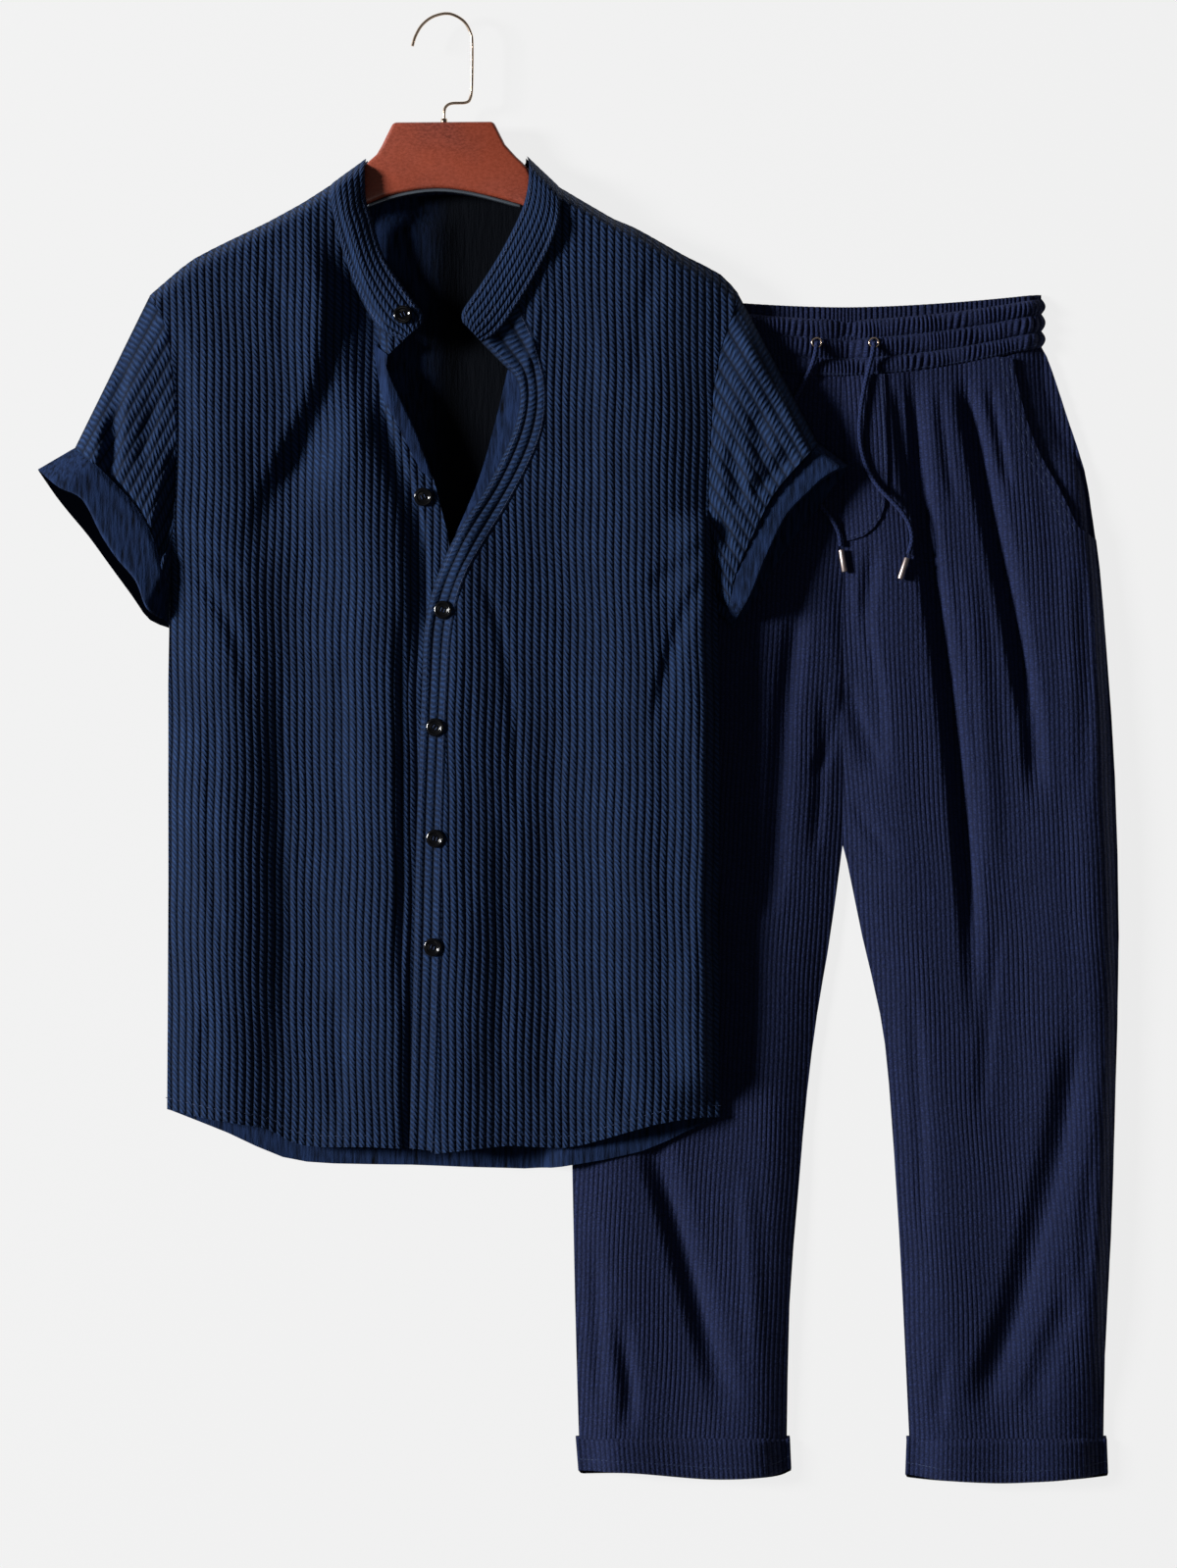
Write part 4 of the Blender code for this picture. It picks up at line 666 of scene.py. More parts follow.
# A flattened tube of cloth from a seam to an open end, its underside at the height base. dip says how
# deep its seam is drawn down, and over what width.
def tube(name, start, frontEnd, backEnd, crest, base, thickness, rows, look, ribs=0, outerRound=0.2,
         dip=(1.4, 4.0)):
    across = look["samples"] * ribs if ribs else plainAcross
    starts = evenly(start, across + 1)
    u = np.linspace(0, 1, across + 1)[None, :]
    v = np.linspace(0, 1, rows)[:, None]
    sides = []
    for ends in (evenly(frontEnd, across + 1), evenly(backEnd, across + 1)):
        less = -seamTuck / np.hypot(*(ends - starts).T)[None, :]   # it starts just inside its neighbour
        share = less + (1 - less) * v
        sides.append((starts[None, :, 0] + (ends - starts)[None, :, 0] * share,
                      starts[None, :, 1] + (ends - starts)[None, :, 1] * share))
    (x, y), (bx, by) = sides
    low = base + 2 * thickness + tubeGap
    top = np.maximum(low, low + (crest(x, y, u, v) - low) * sideRound(u, outerRound))
    phase = u * ribs + 0 * v if ribs else u * np.hypot(*(starts[-1] - starts[0])) / look["pitch"] + 0 * v
    ribbing = look["rib"] * ribHeight(phase) if ribs else 0
    length = np.hypot(x - x[:1], y - y[:1])
    top = top - dip[0] * (1 - ease(length / dip[1]))
    under = np.s_[:, ::-3]
    outX = np.concatenate([x, bx[under]], axis=1)
    outY = np.concatenate([y, by[under]], axis=1)
    outZ = np.concatenate([top + ribbing, (base + 0 * bx)[under]], axis=1)
    width = np.hypot(x[0, -1] - x[0, 0], y[0, -1] - y[0, 0])
    pull = thickness / width
    middleX, middleY = x.mean(axis=1, keepdims=True), y.mean(axis=1, keepdims=True)
    inX = outX + (middleX - outX) * 2 * pull
    inY = outY + (middleY - outY) * 2 * pull
    inZ = np.concatenate([np.maximum(top - thickness, base + thickness + tubeGap / 2),
                          (base + thickness + 0 * bx)[under]], axis=1)
    uv = np.stack([np.concatenate([phase, (phase + 0 * bx)[under]], axis=1),
                   np.concatenate([length, length[under]], axis=1)], axis=-1)
    return wall(name, outX, outY, outZ, (inX, inY, inZ), uv, closed=True)


def addNode(tree, kind, inputs=None, **settings):
    made = tree.nodes.new(kind)
    for key, value in settings.items():
        setattr(made, key, value)
    for key, value in (inputs or {}).items():
        if isinstance(value, bpy.types.Node):
            value = value.outputs[2 if value.bl_idname == "ShaderNodeMix" else 0]
        if isinstance(value, bpy.types.NodeSocket):
            tree.links.new(value, made.inputs[key])
        else:
            made.inputs[key].default_value = value
    return made


def newMaterial(name, colour="#808080", **settings):
    material = bpy.data.materials.new(name)
    material.use_nodes = True
    tree = material.node_tree
    shader = tree.nodes["Principled BSDF"]
    shader.inputs["Base Color"].default_value = toLinear(colour)
    for key, value in settings.items():
        shader.inputs[key].default_value = toLinear(value) if isinstance(value, str) else value
    return material, tree, shader


def raised(tree, shader, height, distance=mm):
    bump = addNode(tree, "ShaderNodeBump", {"Strength": 1.0, "Distance": distance, "Height": height})
    tree.links.new(bump.outputs[0], shader.inputs["Normal"])


# A ribbed cotton: matt yarn, with painted shade between its cords and painted highlights on their tops.
def ribbedCloth(name, look):
    calc = "ShaderNodeMath"
    material, tree, shader = newMaterial(name, **{
        "Roughness": look["roughness"], "Sheen Weight": look["sheen"], "Sheen Roughness": 0.45,
        "Sheen Tint": look["sheenTint"], "Specular IOR Level": look["gloss"]})
    where = addNode(tree, "ShaderNodeUVMap", uv_map="cloth")
    split = addNode(tree, "ShaderNodeSeparateXYZ", {0: where})
    u, v = split.outputs[0], split.outputs[1]
    share = addNode(tree, calc, {0: u}, operation="FRACT")                 # 0 to 1 across one cord
    arc = addNode(tree, calc, {0: share, 1: pi}, operation="MULTIPLY")
    hump = addNode(tree, calc, {0: arc}, operation="SINE")
    run = addNode(tree, calc, {0: v, 1: look["unevenRun"]}, operation="DIVIDE")
    stretched = addNode(tree, "ShaderNodeCombineXYZ", {0: u, 1: run})
    uneven = addNode(tree, "ShaderNodeTexNoise", {"Vector": stretched, "Scale": 1.0, "Detail": 3.0})
    step = addNode(tree, calc, {0: v, 1: look["twist"]}, operation="DIVIDE")   # one slash each twist, in mm
    turn = addNode(tree, calc, {0: share, 1: look["slant"], 2: step}, operation="MULTIPLY_ADD")
    turn = addNode(tree, calc, {0: uneven, 1: look["unevenTurn"], 2: turn}, operation="MULTIPLY_ADD")
    angle = addNode(tree, calc, {0: turn, 1: 2 * pi}, operation="MULTIPLY")
    wave = addNode(tree, calc, {0: angle}, operation="SINE")
    slash = addNode(tree, calc, {0: wave, 1: 0.5, 2: 0.5}, operation="MULTIPLY_ADD")
    here = addNode(tree, "ShaderNodeTexCoord").outputs["Object"]
    fine = addNode(tree, "ShaderNodeTexNoise", {"Vector": here, "Scale": look["fuzz"], "Detail": 2.0})
    blotch = addNode(tree, "ShaderNodeTexNoise", {"Vector": here, "Scale": 30.0, "Detail": 3.0})
    rope = addNode(tree, calc, {0: slash, 1: hump}, operation="MULTIPLY")
    rise = addNode(tree, calc, {0: rope, 1: look["twistDepth"]}, operation="MULTIPLY")
    rise = addNode(tree, calc, {0: uneven, 1: look["crinkle"], 2: rise}, operation="MULTIPLY_ADD")
    rise = addNode(tree, calc, {0: fine, 1: look["fuzzDepth"], 2: rise}, operation="MULTIPLY_ADD")
    raised(tree, shader, rise)
    # painted shade: the colour sinks to near black towards the valleys between the cords
    valley = addNode(tree, calc, {0: hump, 1: look["valley"]}, operation="POWER")
    # painted highlight along each twist: paler on the slashes, darker between them
    paintedTwistHighlight = addNode(tree, calc, {0: slash, 1: look["paintedTwistTone"], 2: 1 - look["paintedTwistTone"]},
                     operation="MULTIPLY_ADD")
    lit = addNode(tree, calc, {0: valley, 1: paintedTwistHighlight}, operation="MULTIPLY")
    paintedShade, base, crest = (toLinear(look[key]) for key in ("paintedShade", "base", "crest"))
    colour = addNode(tree, "ShaderNodeMix", {0: lit, 6: paintedShade, 7: base}, data_type="RGBA")
    # painted highlight: the cords' twisted tops turn paler towards the crest colour, in random patches
    patch = addNode(tree, calc, {0: blotch, 1: 2.0, 2: -0.6}, operation="MULTIPLY_ADD")
    paintedCrestHighlight = addNode(tree, calc, {0: patch, 1: rope}, operation="MULTIPLY")
    paintedCrestHighlight = addNode(tree, calc, {0: paintedCrestHighlight, 1: look["paintedCrestTone"]}, operation="MULTIPLY")
    colour = addNode(tree, "ShaderNodeMix", {0: paintedCrestHighlight, 6: colour, 7: crest}, data_type="RGBA")
    tree.links.new(colour.outputs[2], shader.inputs["Base Color"])
    return material


# The wrong side of the same cotton: no cords, a fine upright crinkle, painted shade in its hollows, a
# paler, dull blue.
def plainCloth(name, look, shade=None):
    calc = "ShaderNodeMath"
    material, tree, shader = newMaterial(name, **{
        "Roughness": 0.9, "Sheen Weight": look["sheen"], "Sheen Tint": look["sheenTint"],
        "Specular IOR Level": 0.08})
    here = addNode(tree, "ShaderNodeTexCoord").outputs["Object"]
    long = addNode(tree, "ShaderNodeMapping", {0: here, "Scale": (1.0, 0.12, 1.0)})
    lines = addNode(tree, "ShaderNodeTexNoise", {"Vector": long, "Scale": look["lines"], "Detail": 3.0})
    fine = addNode(tree, "ShaderNodeTexNoise", {"Vector": here, "Scale": look["fuzz"], "Detail": 2.0})
    rise = addNode(tree, calc, {0: fine, 1: 0.3}, operation="MULTIPLY")
    rise = addNode(tree, calc, {0: lines, 1: 0.9, 2: rise}, operation="MULTIPLY_ADD")
    raised(tree, shader, rise)
    paintedShadeColour, pale = (toLinear(look[key]) for key in ("paintedShade", "inside"))
    # painted shade: darker where the crinkle sinks
    share = addNode(tree, "ShaderNodeMapRange", {0: lines, 1: 0.25, 2: 0.6})
    # painted shade in the neck: the colour goes dark past one X, above one Y
    if shade:                       # deep in the neck, from one X to another and above one Y, in metres
        side = addNode(tree, "ShaderNodeSeparateXYZ", {0: here})
        across = addNode(tree, "ShaderNodeMapRange", {0: side, 1: shade[0], 2: shade[1], 3: 1.0, 4: 0.0},
                         interpolation_type="SMOOTHSTEP")
        below = addNode(tree, calc, {0: side.outputs[1], 1: shade[2]}, operation="LESS_THAN")
        fall = addNode(tree, calc, {0: across, 1: below}, operation="MAXIMUM")
        share = addNode(tree, calc, {0: share, 1: fall}, operation="MULTIPLY")
    colour = addNode(tree, "ShaderNodeMix", {0: share, 6: paintedShadeColour, 7: pale}, data_type="RGBA")
    tree.links.new(colour.outputs[2], shader.inputs["Base Color"])
    return material


# The darkest colour is painted shade between cords and in hollows; crest is a painted highlight on cord
# tops.
shirtLook = {"pitch": shirtPitch, "samples": 6, "rib": 1.05, "wobble": 1.0, "shell": 1.2,
             "roughness": 0.82, "sheen": 0.06, "sheenTint": "#8fa6cf", "gloss": 0.14,
             "base": "#1b3054", "paintedShade": "#020409", "crest": "#314d7c", "valley": 0.5,
             "twist": 4.3, "slant": 1.25, "unevenTurn": 1.2, "unevenRun": 9.0, "twistDepth": 0.95,
             "crinkle": 0.25, "paintedTwistTone": 0.6, "paintedCrestTone": 0.35, "fuzz": 900.0, "fuzzDepth": 0.12,
             "inside": "#1b2b4c", "lines": 420.0}
trouserLook = dict(shirtLook, pitch=trouserPitch, samples=4, rib=0.5, wobble=0.8,
                   base="#1f294e", paintedShade="#060814", crest="#2c3762", sheenTint="#939ccf", valley=0.3,
                   twist=2.3, slant=0.5, unevenTurn=3.6, unevenRun=1.7, twistDepth=0.4,
                   crinkle=1.2, paintedTwistTone=0.5, paintedCrestTone=0.3, inside="#181f3a")
sleeveLook = dict(shirtLook, samples=5, rib=0.8)

shirtCloth = ribbedCloth("ropeRibbedCotton", shirtLook)      # twisted cords that catch a raking light
shirtInside = plainCloth("ribbedCottonWrongSide", shirtLook)
trouserCloth = ribbedCloth("crinkledRibCotton", trouserLook)  # flatter cords, crossed by small puckers
trouserInside = plainCloth("crinkledCottonWrongSide", trouserLook)
# painted shade: the back's inside turns dark towards the right of the neck opening, above Y 0.1 m
neckInsidePaintedShade = plainCloth("ribbedCottonInsideTheNeck", shirtLook, shade=(-0.152, -0.098, 0.1))
# Painted shadow: a near-black cotton for the insides of the turn-ups.
paintedShadowCloth = newMaterial("cottonDeepInsideASleeve", "#020307", **{       # where no light reaches
    "Roughness": 1.0, "Specular IOR Level": 0.0})[0]


def dress(obj, slot, node=None, *materials):
    for k, material in enumerate(materials):
        obj.data.materials[k] = material
    smooth(obj)
    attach(obj, "root")
    if node:
        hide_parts(node)


def polygonArea(outline):
    after = list(outline[1:]) + [outline[0]]
    return abs(sum(p[0] * q[1] - q[0] * p[1] for p, q in zip(outline, after))) / 2


# A piece's cut, from its outline: its flat area, its longest measure, and the width across that.
def cutAs(outline, take=1.06, sides=1):
    flat = np.array([(p[0], p[1]) for p in outline])
    area = polygonArea(outline) * take * sides
    axes = np.linalg.svd(flat - flat.mean(axis=0), full_matrices=False)[2]
    long, wide = np.ptp(flat @ axes.T, axis=0)
    wide = min(wide * take * sides, area / (0.35 * long))


def spreadRows(first, last, step):
    count = int(abs(first - last) / step) + 1
    return np.linspace(first, last, count)


def gridOf(xs, ys):
    return xs[None, :] + 0 * ys[:, None], ys[:, None] + 0 * xs[None, :]


def plainUv(pitch):
    return lambda x, y: np.stack([x / pitch, y], axis=-1)


# Rows of the fronts' grids, as first Y, last Y and step. Above its rows, the shirt's grid follows the
# shoulder line: at these distances from it, and then in this many even rows.
gridRows = {"shirt": (270, -326, 5.2), "shirt back": (452, -342, 6), "trousers": (326, -552, 5.6),
            "trousers back": (326, -556, 12)}
shoulderOffsets = (2, 0, -1.2, -2.6, -4.2, -6.2, -8.6, -11.4, -14.6)
chestRows = 28


def shirtRowsAt(flat):
    top = shoulderLine(flat)[None, :]
    first = top + np.array(shoulderOffsets)[:, None]
    fixed = spreadRows(*gridRows["shirt"])[:, None] + 0 * flat[None, :]
    t = np.linspace(0, 1, chestRows)[1:-1, None]
    between = first[-1:] + (fixed[:1] - first[-1:]) * t
    return np.concatenate([first, between, fixed])


def trouserRowsAt(flat):
    return spreadRows(*gridRows["trousers"])[:, None] + 0 * flat[None, :]


def makeShirtBack():
    outline = spline(shoulderRight)[::-1] + spline(collarBackSeam) + spline(shoulderLeft)
    outline += spline(armholeLeft)[1:] + spline(sideLeft)[1:] + spline(backHem)[::-1][1:]
    outline += spline(sideRight)[::-1][1:] + spline(armholeRight)[::-1][1:-1]
    x, y = gridOf(np.linspace(-347, 137, 82), spreadRows(*gridRows["shirt back"]))
    uvOf = plainUv(shirtPitch)
    loose = 7.0 * ease((x + 172) / 26) * (1 - ease((x + 118) / 30))       # the back rises in the neck
    loose = loose * ease((426 - y) / 20) * ease((y - 250) / 60)
    top = backTop(x, y) + loose + 0.25 * np.sin(x / 9 + 1.5 * np.sin(y / 40)) - 0.25
    piece = cutTo(wall("shirtBack", x, y, top, shirtFloor(x, y), uvOf(x, y)), outline, uvOf)
    # the back's upper side wears the inside cloth with painted shade in the neck
    dress(piece, "shirt cloth", "shirt_back", neckInsidePaintedShade, shirtCloth)
    cutAs(outline, take=1.0)


def makeShirtFronts():
    right = spline(shoulderRight) + spline(armholeRight)[1:] + spline(sideRight)[1:]
    right += spline(frontHemRight)[1:] + spline(frontEdgeRight)[::-1][1:]
    right += spline(collarSeamRight)[::-1][1:-1]
    left = spline(shoulderLeft) + spline(armholeLeft)[1:] + spline(sideLeft)[1:]
    left += spline(frontHemLeft[1:])[::-1][1:] + spline(placketSeam)[::-1]
    left += spline(collarSeamLeft)[::-1][5:-1]
    for name, node, outline, surface in (("shirtFrontRight", "shirt_front_right", right, shirtFront),
                                         ("shirtFrontLeft", "shirt_front_left", left, leftFront)):
        piece = ribbed(name, outline, surface, shirtRowsAt, 0.0, shirtLook)
        dress(piece, "shirt cloth", node, shirtCloth, shirtInside)
        cutAs(outline)


# bulge: how far a strip's middle stands up. under: how far the left facing lies below its front, and
# drop: how much further at its free edge.
stripLook = {"placket": 0.2, "facing": 0.5, "bulge": 0.5, "under": 2.0, "drop": 5.0, "collarBulge": 1.5}


def makeShirtStrips():
    def overLap(x, y, t):
        return leftFront(x, y) + stripLook["placket"]

    def turned(x, y, t):
        return (shirtFront(x, y) + rib + seam + cloth + stripLook["facing"]
                + stripLook["bulge"] * np.sin(pi * t))

    def tucked(x, y, t):
        return (leftFront(x, y) - thick(leftFront, x, y) - seam - stripLook["under"]
                - stripLook["drop"] * (1 - t))

    def collarOn(surface):
        proud = collarRise + stripLook["collarBulge"]
        return lambda x, y, t: (surface(x, y) + proud * np.sin(pi * (0.3 + 0.66 * t))
                                * ease((470 - y) / 40))

    def flatBack(x, y, t):
        return cloth + 1.6 + 0 * x + 0 * t

    backSeam = [Point(p.x, p.y - seamTuck) for p in collarBackSeam]
    hiddenEdge = [Point(p.x + 9, p.y) for p in frontEdgeLeft[2:9]]
    rows = (
        ("placket", "placket_left", placketSeam, frontEdgeLeft, overLap, 3, shirtCloth),
        ("facingRight", "facing_right", turnedFacing, frontEdgeRight[1:6], turned, 0, shirtInside),
        ("facingLeft", "facing_left", innerFacing, hiddenEdge, tucked, 0, shirtInside),
        ("collarRight", "collar_right", collarSeamRight, collarEdgeRight, collarOn(shirtFront), 6,
         shirtCloth),
        ("collarLeft", "collar_left", collarSeamLeft, collarEdgeLeft, collarOn(leftFront), 7, shirtCloth),
        ("collarBack", "collar_back", backSeam, collarBackTop, flatBack, 0, shirtInside),
    )
    for name, node, seamLine, edgeLine, height, ribs, material in rows:
        piece = strip(name, seamLine, edgeLine, height, shirtLook, ribs=ribs, step=3.0)
        dress(piece, "shirt cloth", node, material, shirtInside)
        cutAs(list(seamLine) + list(edgeLine)[::-1],
              take=1.08)


# tilt: how much higher a sleeve's outer side lies than its underarm. rise: its height at its end. outer:
# the share of its width over which its outer side is rounded, and that of its turn-up.
sleeveLay = {"right": {"tilt": 0.0, "rise": sleeveHeight - 2.0, "outer": 0.2, "turnupOuter": 0.2},
             "left": {"tilt": 8.0, "rise": sleeveHeight - 4.0, "outer": 0.08, "turnupOuter": 0.06}}


def makeSleeves():
    for side, armhole, end, cuffFront, cuffBack, low in (
            ("right", armholeRight, sleeveEndRight[:-1] + points((-322, 119)),
             cuffFrontRight[:-1] + points((-324, 99)), cuffBackRight[:-1] + points((-323, 94)), 0.0),
            ("left", armholeLeft, sleeveEndLeft, cuffFrontLeft, cuffBackLeft, over)):
        folds, lay = sleeveFolds[side], sleeveLay[side]
        seamPoints, shares = evenly(armhole, 41), np.linspace(0, 1, 41)

        def crest(x, y, u, v):
            shoulder = shirtFront(*(np.interp(u, shares, seamPoints[:, i]) for i in (0, 1)))
            endHeight = low + lay["rise"]
            tilt = lay["tilt"] * (1 - u) * ease(3 * v)
            sunk = foldDepth(folds, x, y) + creases(sleeveCreases, x, y)
            return shoulder + (endHeight - shoulder) * ease(v * 1.2) + tilt - sunk

        def turnedUp(x, y, u, v):
            roll = cuffFlare * v + 0.9 * np.sin(7 * u + 2 * v) * v
            return low + lay["rise"] + cuffProud + roll - lipDrop(v, 0.93, 2.2)

        outline = list(armhole) + list(end)[::-1]
        piece = tube("sleeve" + side.capitalize(), armhole, end, end, crest, low, 1.5, 46, sleeveLook,
                     ribs=sleeveRibs, outerRound=lay["outer"])
        dress(piece, "shirt cloth", "sleeve_" + side, shirtCloth, shirtInside)
        cutAs(outline, take=1.08, sides=2)
        band = tube("sleeveTurnup" + side.capitalize(), end, cuffFront, cuffBack, turnedUp, low, 2.2, 22,
                    sleeveLook, outerRound=lay["turnupOuter"])
        # the right turn-up's inside is near-black painted shadow
        dress(band, "shirt cloth", "sleeve_turnup_" + side, shirtInside,
              paintedShadowCloth if side == "right" else shirtInside)
        cutAs(list(end) + list(cuffFront)[::-1], take=1.1, sides=2)


def bandLine(line, x):
    return line[1] + line[2] * np.minimum(1.0, np.abs(x - middle) / bandHalf) ** bandPower


gatherLook = {"count": 82, "height": 2.3, "channel": 3.2, "uneven": 0.7, "dent": 4.2, "dentX": 213,
              "bulge": 3.2}         # the cord pulls in a dent at one X


def makeWaistband():
    u = np.linspace(-1, 1, gatherLook["count"] * 6 + 1)[None, :]
    x = middle + bandHalf * u
    v = np.linspace(0, 3, 25)[:, None]
    lines = np.stack([bandLine(line, x[0]) for line in bandLines])
    low = np.floor(np.minimum(v, 2.999)).astype(int)[:, 0]
    y = lines[low] + (lines[low + 1] - lines[low]) * (v - low[:, None])
    puff = np.abs(np.sin(pi * v))
    x = x + gatherLook["bulge"] * puff * np.sign(u) * np.abs(u) ** 24   # at the waistband's two ends
    phase = u * gatherLook["count"] / 2 + gatherLook["uneven"] * np.sin(9 * u + 2.1 * np.floor(v))
    phase = phase + 0.4 * np.sin(23 * u + v)
    deeper = 0.72 + 0.3 * np.sin(17 * u + 2.7 * v) + 0.22 * np.sin(41 * u + 1.3 * np.floor(v))
    wave = (np.abs(np.sin(pi * phase)) - 0.5) * gatherLook["height"] * deeper * (0.3 + 0.7 * puff)
    turn = np.sin(pi / 2 * np.minimum(1, (1 - np.abs(u)) * bandHalf / bandRound))
    dent = gatherLook["dent"] * np.exp(-((x - gatherLook["dentX"]) / 13) ** 2) * ease(v / 1.5)
    top = bandEnd + (bandHeight + gatherLook["channel"] * puff ** 0.6 + wave - dent - bandEnd) * turn
    under = bandLow + (bandHeight - cloth - 1.0 - bandLow) * turn + 0 * v
    uv = np.stack([phase + 0 * v, y], axis=-1)
    front = wall("waistbandFront", x, y, top, np.minimum(under, top - 1.0), uv)
    faceOut(front)
    dress(front, "trouser cloth", "waistband_front", trouserCloth, trouserInside)
    outline = list(zip(x[0], y[0])) + list(zip(x[-1], y[-1]))[::-1]
    cutAs(outline, take=1.55)
    w = np.linspace(0, 1, 15)[:, None]
    seamY = bandLine(bandLines[0], x[0])
    backY = seamY[None, :] + (bandLine(bandBackTop, x[0]) - seamY) * w
    backX = x[:1] + 0 * backY
    wave = np.abs(np.sin(pi * (phase[:1] + 0.3))) * gather * np.clip((w - 0.3) * 3, 0, 1)
    back = wall("waistbandBack", backX, backY, cloth + wave + 6.0 * ease(w * 1.6) * turn, 0 * backX,
                np.stack([phase[:1] + 0 * w, backY], axis=-1))
    faceOut(back)
    dress(back, "trouser cloth", "waistband_back", trouserCloth, trouserInside)
    outline = list(zip(backX[0], backY[0])) + list(zip(backX[-1], backY[-1]))[::-1]
    cutAs(outline, take=1.35)


turnupWider = 2.6        # how far a hem's turn-up stands out past the leg at each side
turnupLift = 2.0


def waistSeam(xs):
    return [(x, bandLine(bandLines[0], x)) for x in xs]


def legOutline(outseam, inseam, ends):
    seamLine = waistSeam(np.linspace(middle, ends, 14))
    side = [p for p in spline(outseam) if p[1] < seamLine[-1][1] - 0.5]
    return seamLine + side + spline(inseam)[::-1]


def makeTrousers():
    right = legOutline(outseamRight, inseamRight, middle - bandHalf)
    left = legOutline(outseamLeft, inseamLeft, middle + bandHalf)
    for side, outline, ends in (("Right", right, (-20, 222)), ("Left", left, (198, 440))):
        x, y = gridOf(np.linspace(*ends, 24), spreadRows(*gridRows["trousers back"]))
        uvOf = plainUv(trouserPitch)
        top = cloth - 0.2 + 0.2 * np.sin(x / 11 + y / 37)
        piece = cutTo(wall("trouserBack" + side, x, y, top, 0 * x, uvOf(x, y)), outline, uvOf)
        dress(piece, "trouser cloth", "trouser_back_" + side.lower(), trouserInside, trouserCloth)
        cutAs(outline, take=1.0)
    mouth = spline(pocketMouth)
    seamLine = waistSeam(np.linspace(middle, pocketMouth[0].x, 12))
    side = [p for p in spline(outseamLeft) if p[1] < pocketMouth[-1].y - 8]
    front = seamLine[:-1] + mouth + side + spline(inseamLeft)[::-1]
    for name, node, outline, tilt in (("trouserFrontRight", "trouser_front_right", right, -lean),
                                      ("trouserFrontLeft", "trouser_front_left", front, lean)):
        piece = ribbed(name, outline, trousersFront, trouserRowsAt, tilt, trouserLook)
        dress(piece, "trouser cloth", node, trouserCloth, trouserInside)
        cutAs(outline)

    def pocketFacing(x, y):
        below = 1.6 * ease((pocketMouth[-1].y + 5 - y) / 8)
        under = trousersFront(x, y) - thick(trousersFront, x, y) - seam - rib - 0.4
        return np.maximum(edge, under) - below

    tucked = [(x - facingTuck, y) for x, y in mouth]
    seamLine = waistSeam((middle + bandHalf - 12, middle + bandHalf))
    side = [p for p in spline(outseamLeft) if pocketMouth[-1].y - 34 < p[1] < seamLine[-1][1] - 0.5]
    outline = seamLine + side + tucked[::-1]
    piece = ribbed("pocketFacing", outline, pocketFacing, trouserRowsAt, lean, trouserLook)
    dress(piece, "trouser cloth", "pocket_facing_left", trouserCloth, trouserInside)
    cutAs(outline)
    outline = [(middle + 1, bandLine(bandLines[0], middle)), (flyEdge[0].x, bandLine(bandLines[0], 241))]
    outline += spline(flyEdge)
    piece = ribbed("flyPiece", outline, lambda x, y: trousersFront(x, y) + seam + flyWall + 0.6,
                   trouserRowsAt, lean, dict(trouserLook, shell=0.9))
    dress(piece, "trouser cloth", "fly", trouserCloth, trouserInside)
    cutAs(outline, take=1.15)
    for side, line, outseam, inseam in (("right", turnupFrontRight, outseamRight, inseamRight),
                                        ("left", turnupFrontLeft, inseamLeft, outseamLeft)):
        out = math.copysign(turnupWider, outseam[-1].x - inseam[-1].x)
        start = [Point(outseam[-1].x + out, outseam[-1].y), Point(inseam[-1].x - out, inseam[-1].y)]
        line = [Point(p.x + out * (1 - 2 * i / (len(line) - 1)), p.y) for i, p in enumerate(line)]
        back = [Point(p.x, p.y - turnupDrop) for p in line]

        def crest(x, y, u, v):
            proud = turnupProud + turnupLift + 0.5 * np.sin(5 * u + 1) * v
            return trousersFront(x, outseam[-1].y + 0 * x) + proud - lipDrop(v, 0.9, 1.6)

        piece = tube("hemTurnup" + side.capitalize(), start, line, back, crest, 0.0, 2.2, 12,
                     trouserLook, ribs=turnupRibs, dip=(3.6, 2.2))
        # the turn-up's inside is near-black painted shadow
        dress(piece, "trouser cloth", "hem_turnup_" + side, trouserCloth, paintedShadowCloth)
        cutAs(start + list(line)[::-1], take=1.1, sides=2)


cordLook = {"across": 3.7, "sides": 14, "braid": 3.4, "strands": 6, "colour": "#232e55", "paintedShade": "#0b1020"}


# A braided cotton cord: two sets of strands that cross, with painted shade in the gaps between them.
def braidedCord(name, look):
    calc = "ShaderNodeMath"
    material, tree, shader = newMaterial(name, **{
        "Roughness": 0.85, "Sheen Weight": 0.04, "Specular IOR Level": 0.12})
    where = addNode(tree, "ShaderNodeUVMap", uv_map="cloth")
    split = addNode(tree, "ShaderNodeSeparateXYZ", {0: where})
    step = addNode(tree, calc, {0: split.outputs[1], 1: look["braid"]}, operation="DIVIDE")
    ways = []
    for side in (1, -1):
        turn = addNode(tree, calc, {0: split.outputs[0], 1: side * look["strands"] / 2.0, 2: step},
                       operation="MULTIPLY_ADD")
        angle = addNode(tree, calc, {0: turn, 1: 2 * pi}, operation="MULTIPLY")
        wave = addNode(tree, calc, {0: angle}, operation="SINE")
        ways.append(addNode(tree, calc, {0: wave, 1: 0.5, 2: 0.5}, operation="MULTIPLY_ADD"))
    rise = addNode(tree, calc, {0: ways[0], 1: ways[1]}, operation="MAXIMUM")
    raised(tree, shader, rise, 0.25 * mm)
    # painted shade: darker in the gaps, where the strands' bump is low
    paintedShadeColour, plain = (toLinear(look[key]) for key in ("paintedShade", "colour"))
    colour = addNode(tree, "ShaderNodeMix", {0: rise, 6: paintedShadeColour, 7: plain}, data_type="RGBA")
    tree.links.new(colour.outputs[2], shader.inputs["Base Color"])
    return material


